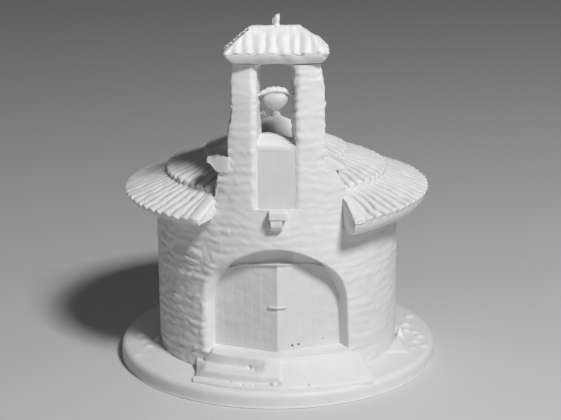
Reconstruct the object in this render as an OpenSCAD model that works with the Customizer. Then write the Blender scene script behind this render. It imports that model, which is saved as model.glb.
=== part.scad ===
// Desk model of a round stone church with a bell gable, cast or printed in one white plastic.
// Millimetres, Z up, the door looks along -Y, origin at the middle of the underside of the base.

/* [Base] */
// reach of the base plate past the round wall
base_out = 7.4; // [6.8:0.1:9]
// thickness of the base plate
base_t = 2.9; // [2.4:0.1:3.6]
// rounding of the upper rim of the base plate
base_round = 0.9; // [0.5:0.1:1.2]

/* [Drum] */
// radius of the round wall
drum_r = 22.6; // [21.8:0.1:23.2]
// height of the round wall above the crown of the arch
crown_gap = 0.6; // [0.4:0.1:1]

/* [Doorway] */
// half width of the doorway at the face of the wall
arch_half = 12.9; // [12:0.1:13.2]
// height of the springing of the arch above the threshold
arch_spring = 9.7; // [9:0.1:10.4]
// rise of the arch above its springing
arch_rise = 8.1; // [7.9:0.1:8.6]
// radius of the two haunches of the arch
haunch_r = 7.5; // [6.5:0.1:7.6]
// narrowing of the splayed reveal for each millimetre of depth
arch_splay = 0.6; // [0.5:0.01:0.7]
// height of the threshold above the base plate
sill_h = 4.1; // [3.6:0.1:4.5]
// reach of the threshold past each side of the doorway
sill_side = 0.4; // [0.3:0.1:0.6]
// reach of the threshold in front of the wall
sill_out = 1; // [0.6:0.1:1.6]
// depth of the threshold behind the outer edges of the doors
sill_deep = 3; // [2:0.1:4]
// setback of the meeting edge of the doors behind the wall face
door_set = 1.9; // [1.7:0.1:2.4]
// turn of each door away from the meeting edge
door_turn = 22.5; // [20:0.5:24]
// thickness of a door leaf
door_t = 0.8; // [0.6:0.1:1]
// height of the doors above the threshold
door_h = 17; // [15.5:0.1:17.2]
// width of the middle post of the doors
post_w = 2.4; // [1.8:0.1:3]
// height of the middle post of the doors
post_h = 7.6; // [6:0.1:9]
// reach of the middle post in front of the doors
post_out = 0.35; // [0.2:0.05:0.5]
// thickness of the capital on the middle post
capital_t = 0.8; // [0.5:0.1:1.2]
// reach of the capital past each side of the post
capital_side = 0.45; // [0.3:0.05:0.6]
// reach of the capital in front of the post
capital_out = 0.25; // [0.15:0.05:0.4]

/* [Front steps] */
// height of the left landing above the base plate
landing_h = 2.1; // [1.6:0.1:2.6]
// gap between the front of the landing and the rim of the base plate
landing_back = 2.9; // [2.6:0.1:3.4]
// reach of the landing past the left end of the threshold
landing_over = 1.5; // [1.2:0.1:2]
// height of the front curb above the base plate
curb_h = 0.6; // [0.4:0.1:1]
// gap between the front of the curb and the rim of the base plate
curb_back = 1.2; // [1.2:0.1:1.6]
// reach of the curb past the left end of the landing
curb_over = 0.6; // [0.3:0.1:0.9]
// height of the middle step at the threshold, above the base plate
step_h = 3.6; // [3.2:0.1:3.6]
// height of the middle step at its front, above the base plate
step_low = 1.9; // [1.4:0.1:2.4]
// left side of the middle step
step_left = 4; // [3.4:0.1:4.6]
// right side of the middle step
step_right = 0.4; // [0.2:0.1:1.5]
// reach of the sloping apron past the right end of the threshold
apron_over = 1.6; // [1.2:0.1:2.2]
// height of the sloping apron at the threshold, above the base plate
apron_h = 3.5; // [3:0.1:3.6]
// thickness of the sloping apron at its front edge
apron_edge = 0.3; // [0.2:0.1:0.5]

/* [Eave] */
// height of the lower edge of the eave above the round wall
eave_rise = 4.3; // [3.9:0.1:4.8]
// reach of the eave past the wall
eave_out = 5.6; // [5.2:0.1:6]
// thickness of the eave at its edge
eave_t = 1; // [0.8:0.1:1.2]
// slope of the underside of the eave
slope_under = 16; // [14:0.5:18]
// height of the hollow curve between the wall and the eave
cove_h = 2; // [1.6:0.1:2.4]
// reach of the hollow curve past the wall
cove_out = 1.6; // [1.2:0.1:2]
// turn of the cut in the lower roof left of the front
cut_left = 29; // [27:0.5:31]
// turn of the cut in the lower roof right of the front
cut_right = 29; // [27:0.5:31]
// width of the broad tile at each cut
verge_w = 2; // [1.6:0.1:2.4]
// height of the broad tile above the slope
verge_h = 0.55; // [0.4:0.05:0.8]
// gap between the upper end of the broad tile and the middle roof
verge_gap = 0.4; // [0.2:0.1:0.6]

/* [Roof] */
// slope of the lower roof
slope_low = 20.5; // [20:0.5:22]
// setback of the middle roof inside the face of the round wall
mid_in = 2.2; // [1.8:0.1:2.8]
// step up to the middle roof
mid_step = 0.8; // [0.6:0.1:1.2]
// slope of the middle roof
slope_mid = 20; // [18:0.5:22]
// depth of the middle roof from its edge to the top roof
top_in = 7.2; // [6.6:0.1:7.8]
// step up to the top roof
top_step = 0.6; // [0.4:0.1:0.9]
// slope of the top roof
slope_top = 25.5; // [24:0.5:27]
// radius of the knob on the roof
knob_r = 0.9; // [0.6:0.1:1.2]
// height of the knob on the roof
knob_h = 1; // [0.6:0.1:1.4]

/* [Gable wall] */
// thickness of the gable from front to back at its middle
gable_t = 6.7; // [6:0.1:7]
// reach of the left side of the gable past the cut in the lower roof
lap_left = 0.2; // [0.1:0.1:0.5]
// reach of the right side of the gable past the cut in the lower roof
lap_right = 1.3; // [1:0.1:1.6]
// height of the foot of the left slope above the round wall
left_rise = 6.5; // [6:0.1:7.2]
// height of the foot of the right slope above the round wall
right_rise = 9; // [8.4:0.1:9.6]
// height of the shoulders above the round wall
shoulder_rise = 12.9; // [12.5:0.1:13.3]
// half width of the gable above the shoulders
gable_half = 8.55; // [8.3:0.05:8.8]
// ledge that carries a shoulder stone
ledge = 1.7; // [1.4:0.1:2]
// overhang of the left shoulder stone
left_over = 1.6; // [1:0.1:2]
// overhang of the right shoulder stone
right_over = 1.4; // [0.8:0.1:1.8]
// height of the shoulder stones beside the belfry
stone_h = 2.9; // [2.6:0.1:3.2]
// height of the left shoulder stone at its tip
left_tip = 1.5; // [1.1:0.1:1.8]
// height of the right shoulder stone at its tip
right_tip = 0.6; // [0.4:0.1:0.9]

/* [Blind window] */
// width of the slot between the piers
slot_w = 6.5; // [6.2:0.1:6.8]
// middle of the slot from the middle of the church
slot_x = 0.05; // [0:0.01:0.3]
// height of the foot of the blind window above the round wall
panel_rise = 6.4; // [6.2:0.1:6.8]
// height of the blind window
panel_h = 12.4; // [12:0.1:12.8]
// setback of the blind window behind the gable face
panel_set = 0.6; // [0.5:0.1:0.9]
// width of the splayed edge on each side of the slot
slot_splay = 0.9; // [0.6:0.1:1.2]
// thickness of the plate in the blind window
panel_t = 1; // [0.8:0.1:1.4]
// middle of the corbel from the middle of the church
corbel_x = 0.25; // [0:0.05:0.4]
// width of the corbel block
corbel_w = 2.7; // [2.3:0.1:3]
// depth to which the corbel is drawn behind the gable face before it is cut to the wall
corbel_seat = 1; // [0.8:0.1:1.4]
// height of the corbel block
corbel_h = 3; // [2.6:0.1:3.4]
// reach of the corbel block
corbel_out = 1.8; // [1.4:0.1:2.2]
// width of the slab on the corbel
slab_w = 3.2; // [2.8:0.1:3.6]
// thickness of the slab on the corbel
slab_t = 1; // [0.8:0.1:1.2]
// reach of the slab past the front of the corbel block
slab_over = 0.25; // [0.15:0.05:0.4]

/* [Belfry] */
// height of the piers
pier_h = 13.1; // [12.8:0.1:13.8]
// half width of the belfry at the head of the piers
pier_half = 7.65; // [7.4:0.05:7.9]
// height above its foot at which the left pier stops narrowing
left_waist = 4.6; // [4:0.1:6]
// height above its foot at which the right pier starts to narrow
right_waist = 6.8; // [5:0.1:7.5]
// middle of the belfry roof from the middle of the church
cap_x = 0.2; // [0:0.05:0.4]
// height of the rounded sill in the bell opening
mound_h = 1.2; // [1:0.1:1.6]
// radius of the rounded sill
mound_r = 7; // [6.5:0.1:8]
// middle of the rounded sill behind the middle of the gable
mound_back = 0.8; // [0.4:0.1:1.2]
// depth of the bell yoke from front to back
yoke_d = 1.5; // [1.2:0.1:2]
// height of the yoke crown above the foot of the piers
yoke_z = 8.5; // [8.2:0.1:8.6]
// rise of the arched yoke above the bell
yoke_rise = 1; // [0.8:0.1:1.2]
// radius of the arched yoke
yoke_r = 3.6; // [3.4:0.1:4]
// thickness of the pin at each end of the yoke
yoke_t = 0.7; // [0.5:0.1:0.9]
// gap between the bell and the pins of the yoke
bell_gap = 0.15; // [0.1:0.05:0.2]
// largest radius of the bell
bell_r = 2; // [1.8:0.05:2.05]
// height of the bell
bell_h = 2.8; // [2.5:0.1:3]
// flat under the bell that carries the clapper, as a depth cut off the round
bell_flat = 0.1; // [0.08:0.01:0.15]
// radius of the clapper
clapper_r = 0.4; // [0.3:0.05:0.5]
// length of the clapper below the bell
clapper_h = 0.6; // [0.4:0.1:0.8]

/* [Belfry roof] */
// height of the flared underside
flare_h = 2.1; // [1.8:0.1:2.4]
// reach of the flared underside past the sides of the piers
flare_out = 1.3; // [1:0.1:1.5]
// reach of the flared underside past the front and the back of the piers
flare_front = 0.6; // [0.4:0.1:0.8]
// height at which the flared underside turns steeper
flare_turn = 1.1; // [0.9:0.1:1.3]
// share of its reach that the flared underside has at that turn
flare_share = 0.65; // [0.55:0.05:0.75]
// thickness of the tile edge
cap_edge = 0.7; // [0.5:0.1:1]
// rise of the slopes
cap_rise = 3.6; // [3.2:0.1:4]
// half length of the ridge
ridge_half = 4.1; // [3.6:0.1:4.6]
// width of the flat of the ridge
ridge_w = 1; // [0.8:0.1:1.4]
// radius of the broken finial
finial_r = 0.5; // [0.4:0.01:0.55]
// height of the broken finial
finial_h = 1.9; // [1.4:0.1:2.2]

/* [Hidden] */
$fn = 96;
base_r = drum_r + base_out;
mid_r = drum_r - mid_in;
top_r = mid_r - top_in;
sill_z = base_t + sill_h;
arch_y = -sqrt(drum_r * drum_r - arch_half * arch_half);
haunch_x = arch_half - haunch_r;
crown_h = arch_spring + arch_rise + arch_splay * (drum_r + arch_y);
crown_more = arch_rise - haunch_r;
crown_r = (haunch_x * haunch_x + arch_rise * arch_rise - haunch_r * haunch_r) / (2 * crown_more);
crown_z = sill_z + arch_spring + arch_rise - crown_r;
drum_top = sill_z + crown_h + crown_gap;
drum_h = drum_top - base_t;
front_y = -drum_r;
back_y = front_y + gable_t;
mid_y = (front_y + back_y) / 2;
wing_left = drum_r * sin(cut_left) + lap_left;
wing_right = drum_r * sin(cut_right) + lap_right;
sill_r = drum_r + sill_out;
sill_half = arch_half + sill_side;
landing_left = sill_half + landing_over;
apron_right = sill_half + apron_over;
door_y = -(drum_r - door_set);
door_tan = tan(door_turn);
sill_back = door_y + arch_half * door_tan + sill_deep;
eave_z = drum_top + eave_rise;
eave_r = drum_r + eave_out;
under_z = eave_z + eave_out * tan(slope_under);
low_z = eave_z + eave_t;
mid_z = low_z + (eave_r - mid_r) * tan(slope_low);
mid_top = mid_z + mid_step;
top_z = mid_top + (mid_r - top_r) * tan(slope_mid);
top_top = top_z + top_step;
knob_z = top_top + (top_r - knob_r) * tan(slope_top);
shoulder_z = drum_top + shoulder_rise;
panel_z = drum_top + panel_rise;
foot_z = panel_z + panel_h;
slot_l = slot_x - slot_w / 2;
slot_r = slot_x + slot_w / 2;
pier_z = foot_z + pier_h;
cap_l = cap_x - pier_half;
cap_r = cap_x + pier_half;
flare_z = pier_z + flare_h;
ridge_z = flare_z + cap_edge + cap_rise;
yoke_top = foot_z + yoke_z;
yoke_low = yoke_top - yoke_rise;
bell_z = yoke_low - bell_h;
big = 60;

// plan and profile shapes that several pieces share

// the splayed hollow of the doorway: straight jambs, two haunch cones and a flatter crown cone
module arch_hollow() {
    inner = 6;
    outer = 6.5;
    depth = inner + outer;
    less = arch_splay * inner;
    more = arch_splay * outer;
    back = arch_y + inner;
    spring_z = sill_z + arch_spring;
    intersection() {
        union() {
            translate([0, 0, sill_z - 1])
                linear_extrude(height = arch_spring + 1)
                    polygon([[-arch_half - more, back - depth], [arch_half + more, back - depth],
                        [arch_half - less, back], [less - arch_half, back]]);
            for (side = [-1, 1])
                translate([side * haunch_x, back, spring_z])
                    rotate([90, 0, 0])
                        cylinder(r1 = haunch_r - less, r2 = haunch_r + more, h = depth);
            intersection() {
                translate([0, back, crown_z])
                    rotate([90, 0, 0])
                        cylinder(r1 = crown_r - less, r2 = crown_r + more, h = depth);
                translate([0, back, 0])
                    rotate([90, 0, 0])
                        linear_extrude(height = depth)
                            polygon([[0, crown_z], [haunch_x * 2, 2 * spring_z - crown_z],
                                [-haunch_x * 2, 2 * spring_z - crown_z]]);
            }
        }
        translate([-big, -big, sill_z - 1])
            cube([2 * big, big, big]);
    }
}

// everything behind a pair of door planes that meet on the middle line
module behind_doors(y, z0, z1) {
    reach = arch_half + 2;
    translate([0, 0, z0])
        linear_extrude(height = z1 - z0)
            polygon([[0, y], [reach, y + reach * door_tan], [reach, 0], [-reach, 0],
                [-reach, y + reach * door_tan]]);
}

module sill_block(r) {
    translate([0, 0, base_t])
        linear_extrude(height = sill_h)
            intersection() {
                circle(r);
                translate([-sill_half, -big])
                    square([2 * sill_half, big + sill_back]);
            }
}

// a flat-topped piece of the front steps between two sides
module step_block(r, x0, x1, h) {
    translate([0, 0, base_t])
        linear_extrude(height = h)
            difference() {
                intersection() {
                    circle(r);
                    translate([x0, -big])
                        square([x1 - x0, big - drum_r / 2]);
                }
                circle(drum_r);
                intersection() {
                    circle(sill_r);
                    translate([-sill_half, -big])
                        square([2 * sill_half, big]);
                }
            }
}

// a front view made into a wall: flat at the back, round at the front as the round wall below it
module round_front() {
    intersection() {
        translate([0, back_y, 0])
            rotate([90, 0, 0])
                linear_extrude(height = gable_t + 1)
                    children();
        cylinder(r = drum_r, h = pier_z + 1);
    }
}

// the gable wall without its window, also cut out of the roof
module gable_slab() {
    top_left = slot_x - gable_half;
    top_right = slot_x + gable_half;
    round_front()
        polygon([[-wing_left, drum_top], [wing_right, drum_top], [wing_right, drum_top + right_rise],
            [top_right + ledge, shoulder_z], [top_right, shoulder_z], [top_right, foot_z],
            [top_left, foot_z], [top_left, shoulder_z], [top_left - ledge, shoulder_z],
            [-wing_left, drum_top + left_rise]]);
}

// profile of the wall head with the hollow curve under the eave, from the axis outward
module cove_profile() {
    polygon([[0, drum_top], [drum_r, drum_top], [drum_r, under_z - cove_h],
        [drum_r + cove_out * 0.14, under_z - cove_h * 0.62],
        [drum_r + cove_out * 0.45, under_z - cove_h * 0.34],
        [drum_r + cove_out, under_z - cove_out * tan(slope_under)], [drum_r, under_z], [0, under_z]]);
}

// the slot from its panel outward, wider at the face of the wall, as high as a piece needs it
module splayed_slot(z0, z1) {
    panel_y = front_y + panel_set;
    face_y = -sqrt(drum_r * drum_r - slot_w * slot_w / 4);
    ahead = front_y - 1;
    more = slot_splay * (panel_y - ahead) / (panel_y - face_y);
    translate([0, 0, z0])
        linear_extrude(height = z1 - z0)
            polygon([[slot_l, panel_y], [slot_r, panel_y], [slot_r + more, ahead], [slot_l - more, ahead]]);
}

// the opening in the lower roof in front of the gable
module front_notch() {
    far = big;
    translate([0, 0, drum_top - 1])
        linear_extrude(height = mid_z - drum_top + 1)
            polygon([[back_y * tan(cut_left), back_y], [-far * tan(cut_left), -far],
                [far * tan(cut_right), -far], [-back_y * tan(cut_right), back_y]]);
}

module low_solid() {
    difference() {
        rotate_extrude()
            polygon([[0, under_z], [drum_r, under_z], [eave_r, eave_z], [eave_r, low_z],
                [mid_r, mid_z], [0, mid_z]]);
        front_notch();
        gable_slab();
    }
}

// a broad tile that lies along one cut of the lower roof
module verge_tile(turn, side) {
    length = (eave_r - mid_r) / cos(slope_low) - verge_gap;
    difference() {
        rotate([0, 0, turn - 90])
            translate([eave_r, 0, low_z])
                rotate([0, slope_low, 0])
                    translate([-length, side > 0 ? 0 : -verge_w, -1])
                        cube([length, verge_w, 1 + verge_h]);
        rotate_extrude()
            polygon([[0, eave_z - big], [eave_r + 3, eave_z - big], [eave_r + 3, low_z - 3 * tan(slope_low)],
                [mid_r - 3, mid_z + 3 * tan(slope_low)], [0, mid_z + 3 * tan(slope_low)]]);
        rotate_extrude()
            square([mid_r, big]);
        gable_slab();
    }
}

// a piece of the front steps whose top slopes from the threshold down to its front edge
module sloped_step(r, x0, x1, high, low) {
    intersection() {
        step_block(r, x0, x1, high);
        rotate_extrude()
            polygon([[0, 0], [base_r, 0], [r, base_t + low], [sill_r, base_t + high], [0, base_t + high]]);
    }
}

// pieces of the base and the front steps

module base_disc() {
    color([0.86, 0.86, 0.85])
        rotate_extrude() {
            square([base_r - base_round, base_t]);
            square([base_r, base_t - base_round]);
            translate([base_r - base_round, base_t - base_round])
                circle(base_round);
        }
}

module front_curb() {
    color([0.84, 0.84, 0.83])
        difference() {
            step_block(base_r - curb_back, -landing_left - curb_over, step_right, curb_h);
            translate([0, 0, -1])
                cylinder(r = base_r - landing_back, h = big);
        }
}

module left_landing() {
    color([0.85, 0.85, 0.84])
        step_block(base_r - landing_back, -landing_left, -step_left, landing_h);
}

module middle_step() {
    color([0.87, 0.87, 0.86])
        sloped_step(base_r - landing_back, -step_left, step_right, step_h, step_low);
}

module right_apron() {
    color([0.86, 0.86, 0.85])
        sloped_step(base_r - curb_back, step_right, apron_right, apron_h, apron_edge);
}

// pieces of the round wall and the doorway

module threshold() {
    color([0.87, 0.87, 0.86])
        sill_block(sill_r);
}

module drum_wall() {
    color([0.83, 0.83, 0.82])
        difference() {
            translate([0, 0, base_t])
                cylinder(r = drum_r, h = drum_h);
            difference() {
                arch_hollow();
                behind_doors(door_y + door_t, sill_z - 1, drum_top + 1);
            }
            translate([-sill_half, -big, base_t - 1])
                cube([2 * sill_half, big + sill_back, sill_h + 1]);
        }
}

module door_leaf(side) {
    intersection() {
        arch_hollow();
        difference() {
            behind_doors(door_y, sill_z, sill_z + door_h);
            behind_doors(door_y + door_t, sill_z - 1, sill_z + door_h + 1);
        }
        translate([side > 0 ? 0 : -big, -big, 0])
            cube([big, big, big]);
    }
}

module left_door() {
    color([0.80, 0.80, 0.79])
        door_leaf(-1);
}

module right_door() {
    color([0.80, 0.80, 0.79])
        door_leaf(1);
}

// the plan of the post follows the doors and stands a little in front of them
module post_plan(half, out) {
    y1 = door_y + half * door_tan;
    polygon([[0, door_y], [half, y1], [half, y1 - out], [0, door_y - out], [-half, y1 - out], [-half, y1]]);
}

module door_post() {
    color([0.82, 0.82, 0.81])
        translate([0, 0, sill_z])
            linear_extrude(height = post_h)
                post_plan(post_w / 2, post_out);
}

module post_capital() {
    color([0.84, 0.84, 0.83])
        translate([0, 0, sill_z + post_h])
            linear_extrude(height = capital_t)
                post_plan(post_w / 2 + capital_side, post_out + capital_out);
}

// pieces of the gable and the belfry

module gable_wall() {
    color([0.84, 0.84, 0.83])
        difference() {
            gable_slab();
            translate([slot_l, front_y, panel_z])
                cube([slot_w, panel_set + panel_t, panel_h + 1]);
            splayed_slot(panel_z, foot_z + 1);
        }
}

// a stone with a sloping top that lies on the ledge beside the belfry
module shoulder_stone(side, over, tip) {
    inner = slot_x + side * gable_half;
    reach = side * (ledge + over);
    round_front()
        polygon([[inner, shoulder_z], [inner + reach, shoulder_z], [inner + reach, shoulder_z + tip],
            [inner, shoulder_z + stone_h]]);
}

module left_shoulder() {
    color([0.85, 0.85, 0.84])
        shoulder_stone(-1, left_over, left_tip);
}

module right_shoulder() {
    color([0.85, 0.85, 0.84])
        shoulder_stone(1, right_over, right_tip);
}

module blind_panel() {
    color([0.80, 0.80, 0.79])
        translate([slot_l, front_y + panel_set, panel_z])
            cube([slot_w, panel_t, panel_h]);
}

// cuts the back of a piece to the round face that it stands on
module on_wall() {
    difference() {
        children();
        cylinder(r = drum_r, h = foot_z);
    }
}

module corbel_block() {
    deep = corbel_seat + corbel_out;
    color([0.84, 0.84, 0.83])
        on_wall()
            translate([corbel_x - corbel_w / 2, front_y, panel_z - slab_t - corbel_h])
                rotate([90, 0, 90])
                    linear_extrude(height = corbel_w)
                        union() {
                            translate([-corbel_out, corbel_out])
                                square([deep, corbel_h - corbel_out]);
                            intersection() {
                                translate([0, corbel_out])
                                    circle(corbel_out);
                                translate([-corbel_out, 0])
                                    square([deep, corbel_out]);
                            }
                        }
}

module corbel_slab() {
    out = corbel_out + slab_over;
    color([0.86, 0.86, 0.85])
        on_wall()
            translate([corbel_x - slab_w / 2, front_y - out, panel_z - slab_t])
                cube([slab_w, out + corbel_seat, slab_t]);
}

// a pier between the slot and an outer side that turns once on its way up
module pier(inner, foot_out, turn_out, turn_h, head_out) {
    difference() {
        round_front()
            polygon([[inner, foot_z], [foot_out, foot_z], [turn_out, foot_z + turn_h], [head_out, pier_z],
                [inner, pier_z]]);
        splayed_slot(foot_z - 1, pier_z + 1);
    }
}

module left_pier() {
    color([0.85, 0.85, 0.84])
        pier(slot_l, slot_x - gable_half, cap_l, left_waist, cap_l);
}

module right_pier() {
    color([0.85, 0.85, 0.84])
        pier(slot_r, slot_x + gable_half, slot_x + gable_half, right_waist, cap_r);
}

module bell_sill() {
    color([0.88, 0.88, 0.87])
        intersection() {
            translate([slot_x, mid_y + mound_back, foot_z + mound_h - mound_r])
                sphere(mound_r);
            translate([slot_l, front_y + panel_set, foot_z])
                cube([slot_w, gable_t - panel_set, big]);
        }
}

module bell_yoke() {
    color([0.86, 0.86, 0.85])
        translate([slot_x, mid_y + yoke_d / 2, yoke_low])
            rotate([90, 0, 0])
                linear_extrude(height = yoke_d)
                    union() {
                        intersection() {
                            translate([0, yoke_rise - yoke_r])
                                circle(yoke_r);
                            translate([-slot_w / 2, 0])
                                square([slot_w, yoke_rise]);
                        }
                        for (start = [-slot_w / 2, bell_r + bell_gap])
                            translate([start, -yoke_t / 2])
                                square([slot_w / 2 - bell_r - bell_gap, yoke_t]);
                    }
}

module bell_cup() {
    color([0.78, 0.78, 0.77])
        intersection() {
            translate([slot_x, mid_y, bell_z + bell_r - bell_flat])
                sphere(bell_r);
            translate([slot_l, mid_y - slot_w / 2, bell_z])
                cube([slot_w, slot_w, bell_h]);
        }
}

module bell_clapper() {
    color([0.78, 0.78, 0.77])
        translate([slot_x, mid_y, bell_z - clapper_h])
            cylinder(r = clapper_r, h = clapper_h);
}

// pieces of the belfry roof

// a block over the piers from two profiles, its front view and its side view
module two_views() {
    intersection() {
        translate([cap_x, mid_y + big / 2, 0])
            rotate([90, 0, 0])
                linear_extrude(height = big)
                    children(0);
        translate([cap_x - big / 2, mid_y, 0])
            rotate([90, 0, 90])
                linear_extrude(height = big)
                    children(1);
    }
}

// widens from the piers up to the tile edge, quickly below and steeply above
module flare_profile(half, out) {
    turn_z = pier_z + flare_turn;
    polygon([[-half, pier_z], [half, pier_z], [half + out * flare_share, turn_z], [half + out, flare_z],
        [-half - out, flare_z], [-half - out * flare_share, turn_z]]);
}

// rises from the tile edge to the ridge
module hip_profile(half, ridge) {
    edge_z = flare_z + cap_edge;
    polygon([[-half, flare_z], [half, flare_z], [half, edge_z], [ridge, ridge_z], [-ridge, ridge_z],
        [-half, edge_z]]);
}

module cap_soffit() {
    color([0.83, 0.83, 0.82])
        two_views() {
            flare_profile(pier_half, flare_out);
            flare_profile(gable_t / 2, flare_front);
        }
}

module cap_roof() {
    color([0.86, 0.86, 0.85])
        two_views() {
            hip_profile(pier_half + flare_out, ridge_half);
            hip_profile(gable_t / 2 + flare_front, ridge_w / 2);
        }
}

module cap_finial() {
    color([0.86, 0.86, 0.85])
        translate([cap_x, mid_y, ridge_z])
            cylinder(r1 = finial_r, r2 = finial_r * 0.8, h = finial_h);
}

// pieces of the round roof

module eave_cove() {
    color([0.82, 0.82, 0.81])
        difference() {
            rotate_extrude()
                cove_profile();
            front_notch();
            gable_slab();
        }
}

module lower_roof() {
    color([0.85, 0.85, 0.84])
        low_solid();
}

module middle_roof() {
    color([0.85, 0.85, 0.84])
        difference() {
            rotate_extrude()
                polygon([[0, mid_z], [mid_r, mid_z], [mid_r, mid_top], [top_r, top_z], [0, top_z]]);
            gable_slab();
        }
}

module top_roof() {
    color([0.85, 0.85, 0.84])
        rotate_extrude()
            polygon([[0, top_z], [top_r, top_z], [top_r, top_top], [knob_r, knob_z], [0, knob_z]]);
}

module roof_knob() {
    color([0.86, 0.86, 0.85])
        translate([0, 0, knob_z])
            cylinder(r1 = knob_r, r2 = knob_r * 0.6, h = knob_h);
}

module left_verge() {
    color([0.87, 0.87, 0.86])
        verge_tile(-cut_left, -1);
}

module right_verge() {
    color([0.87, 0.87, 0.86])
        verge_tile(cut_right, 1);
}

base_disc();
front_curb();
left_landing();
middle_step();
right_apron();
threshold();
drum_wall();
left_door();
right_door();
door_post();
post_capital();
gable_wall();
left_shoulder();
right_shoulder();
blind_panel();
corbel_block();
corbel_slab();
left_pier();
right_pier();
bell_sill();
bell_yoke();
bell_cup();
bell_clapper();
cap_soffit();
cap_roof();
cap_finial();
eave_cove();
lower_roof();
middle_roof();
top_roof();
roof_knob();
left_verge();
right_verge();
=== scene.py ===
import math

import bmesh
import bpy
import numpy as np
from mathutils import Matrix, Vector


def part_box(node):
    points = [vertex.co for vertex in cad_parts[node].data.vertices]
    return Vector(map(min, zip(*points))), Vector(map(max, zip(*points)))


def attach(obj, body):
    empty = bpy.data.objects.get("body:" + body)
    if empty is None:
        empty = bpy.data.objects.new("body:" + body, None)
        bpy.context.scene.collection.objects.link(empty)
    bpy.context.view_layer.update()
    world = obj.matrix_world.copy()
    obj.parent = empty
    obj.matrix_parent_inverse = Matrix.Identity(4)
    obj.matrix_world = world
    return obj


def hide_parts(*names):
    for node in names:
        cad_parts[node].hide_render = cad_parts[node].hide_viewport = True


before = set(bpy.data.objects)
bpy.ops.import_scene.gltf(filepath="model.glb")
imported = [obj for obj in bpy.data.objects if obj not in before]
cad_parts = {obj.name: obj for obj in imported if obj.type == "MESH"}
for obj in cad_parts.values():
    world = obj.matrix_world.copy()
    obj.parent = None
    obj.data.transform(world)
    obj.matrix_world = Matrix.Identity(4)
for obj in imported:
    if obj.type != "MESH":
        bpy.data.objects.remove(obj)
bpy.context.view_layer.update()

# The view: a long lens looks a little down on the door side of the model.
# Its distance, height and lens follow the curves of the base plate and the eave.
VIEW_LENS = 101.87
VIEW_SENSOR = 36.0
VIEW_NEAREST = 0.01
VIEW_DISTANCE = 0.300
VIEW_RISE = math.radians(16.195)
VIEW_ROLL = math.radians(-0.448)
VIEW_TARGET = Vector((0.000687, 0.0, 0.02771))

scene = bpy.context.scene
view_back = Vector((0.0, -math.cos(VIEW_RISE), math.sin(VIEW_RISE)))
view_right = Vector((1.0, 0.0, 0.0))
view_up = view_back.cross(view_right)
turned_right = view_right * math.cos(VIEW_ROLL) + view_up * math.sin(VIEW_ROLL)
turned_up = view_up * math.cos(VIEW_ROLL) - view_right * math.sin(VIEW_ROLL)
view_camera = bpy.data.objects.new("view_camera", bpy.data.cameras.new("view_camera"))
view_camera.data.lens = VIEW_LENS
view_camera.data.sensor_width = VIEW_SENSOR
view_camera.data.clip_start = VIEW_NEAREST
view_axes = Matrix((turned_right, turned_up, view_back)).transposed()
view_camera.matrix_world = Matrix.Translation(VIEW_TARGET + view_back * VIEW_DISTANCE) @ view_axes.to_4x4()
scene.collection.objects.link(view_camera)
scene.camera = view_camera

# The base plate: a thick round disc of white plastic, printed flat on the bed before all the rest.
# Its first layer spread a little at the foot, its rim is soft, and blobs of paving stand on its top.
MM = 0.001
BASE_COLUMNS = 480
BASE_STEP = 0.3
BASE_NET_INSIDE = 19.0
BASE_FOOT_SPREAD = 0.12
BASE_FOOT_HEIGHT = 0.25
BASE_RIM_ROUND = 1.0
# Lumps, here and in other sections: height and width in millimetres, and a seed.
BASE_TOP_LUMPS = ((0.05, 3.2, 3), (0.02, 0.9, 4))
BASE_RIM_LUMPS = ((0.03, 2.0, 5),)
# Blobs on the plate: x, y, half width and height in millimetres.
BASE_BLOBS = ((24.9, 4.0, 0.9, 0.50), (24.8, 0.9, 0.8, 0.40), (26.4, 0.2, 1.0, 0.30),
              (27.2, -2.2, 0.9, 0.35), (26.2, -4.6, 0.9, 0.28), (27.6, -7.1, 0.9, 0.25),
              (25.4, -8.3, 0.8, 0.22), (26.1, 8.9, 0.9, 0.40), (23.4, -2.2, 0.65, 1.70),
              (-22.9, -3.9, 0.6, 1.10), (-26.6, -0.4, 0.9, 0.28), (-25.4, -3.4, 0.8, 0.22),
              (-24.4, -6.4, 0.9, 0.25), (-26.3, -10.9, 0.8, 0.15), (-24.8, 6.2, 0.9, 0.35),
              (8.4, 25.6, 1.0, 0.35), (-9.6, 25.1, 0.9, 0.30))
BLOB_EDGE = (0.45, 1.25)
# The tent-shaped stub at the right foot of the wall: its tip, its broad end, half width, height and fall.
TENT_APEX = (23.1, -1.8)
TENT_END = (22.4, -10.9)
TENT_HALF = 2.5
TENT_HEIGHT = 0.75
TENT_FALL = 0.6
# The print's finish: its layers, how much less blue than grey its white is, and its mottle and grain.
LAYER_HEIGHT = 0.25
LAYER_DEPTH = 0.004
LAYER_WAVER = 0.6
WARMTH = 0.005
MOTTLE_SCALE = 330.0
GRAIN_SCALE = 2600.0
MOTTLE_RANGE = (0.3, 0.7)


def node_box(node):
    """The lowest and highest corners of a CAD node, in millimetres."""
    low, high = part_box(node)
    return np.array(low) / MM, np.array(high) / MM


def lattice(cell, seed):
    """A steady random value from 0 to 1 at each whole-number point, mixed from its place by large primes."""
    mixed = cell[..., 0] * 374761393 + cell[..., 1] * 668265263 + cell[..., 2] * 974634777 + seed * 144665
    mixed = (mixed ^ (mixed >> 13)) * 1274126177
    return ((mixed ^ (mixed >> 16)) & 0xFFFF) / 65535.0


def lumps(points, size, seed):
    """Soft lumps from -1 to 1 whose width is about the given size in millimetres."""
    place = np.asarray(points) / size
    cell = np.floor(place).astype(np.int64)
    part = place - cell
    part = part * part * (3 - 2 * part)
    height = np.zeros(place.shape[:-1])
    for corner in np.ndindex(2, 2, 2):
        share = np.where(np.array(corner) == 1, part, 1 - part).prod(axis=-1)
        height += share * lattice(cell + np.array(corner), seed)
    return 2 * height - 1


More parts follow.
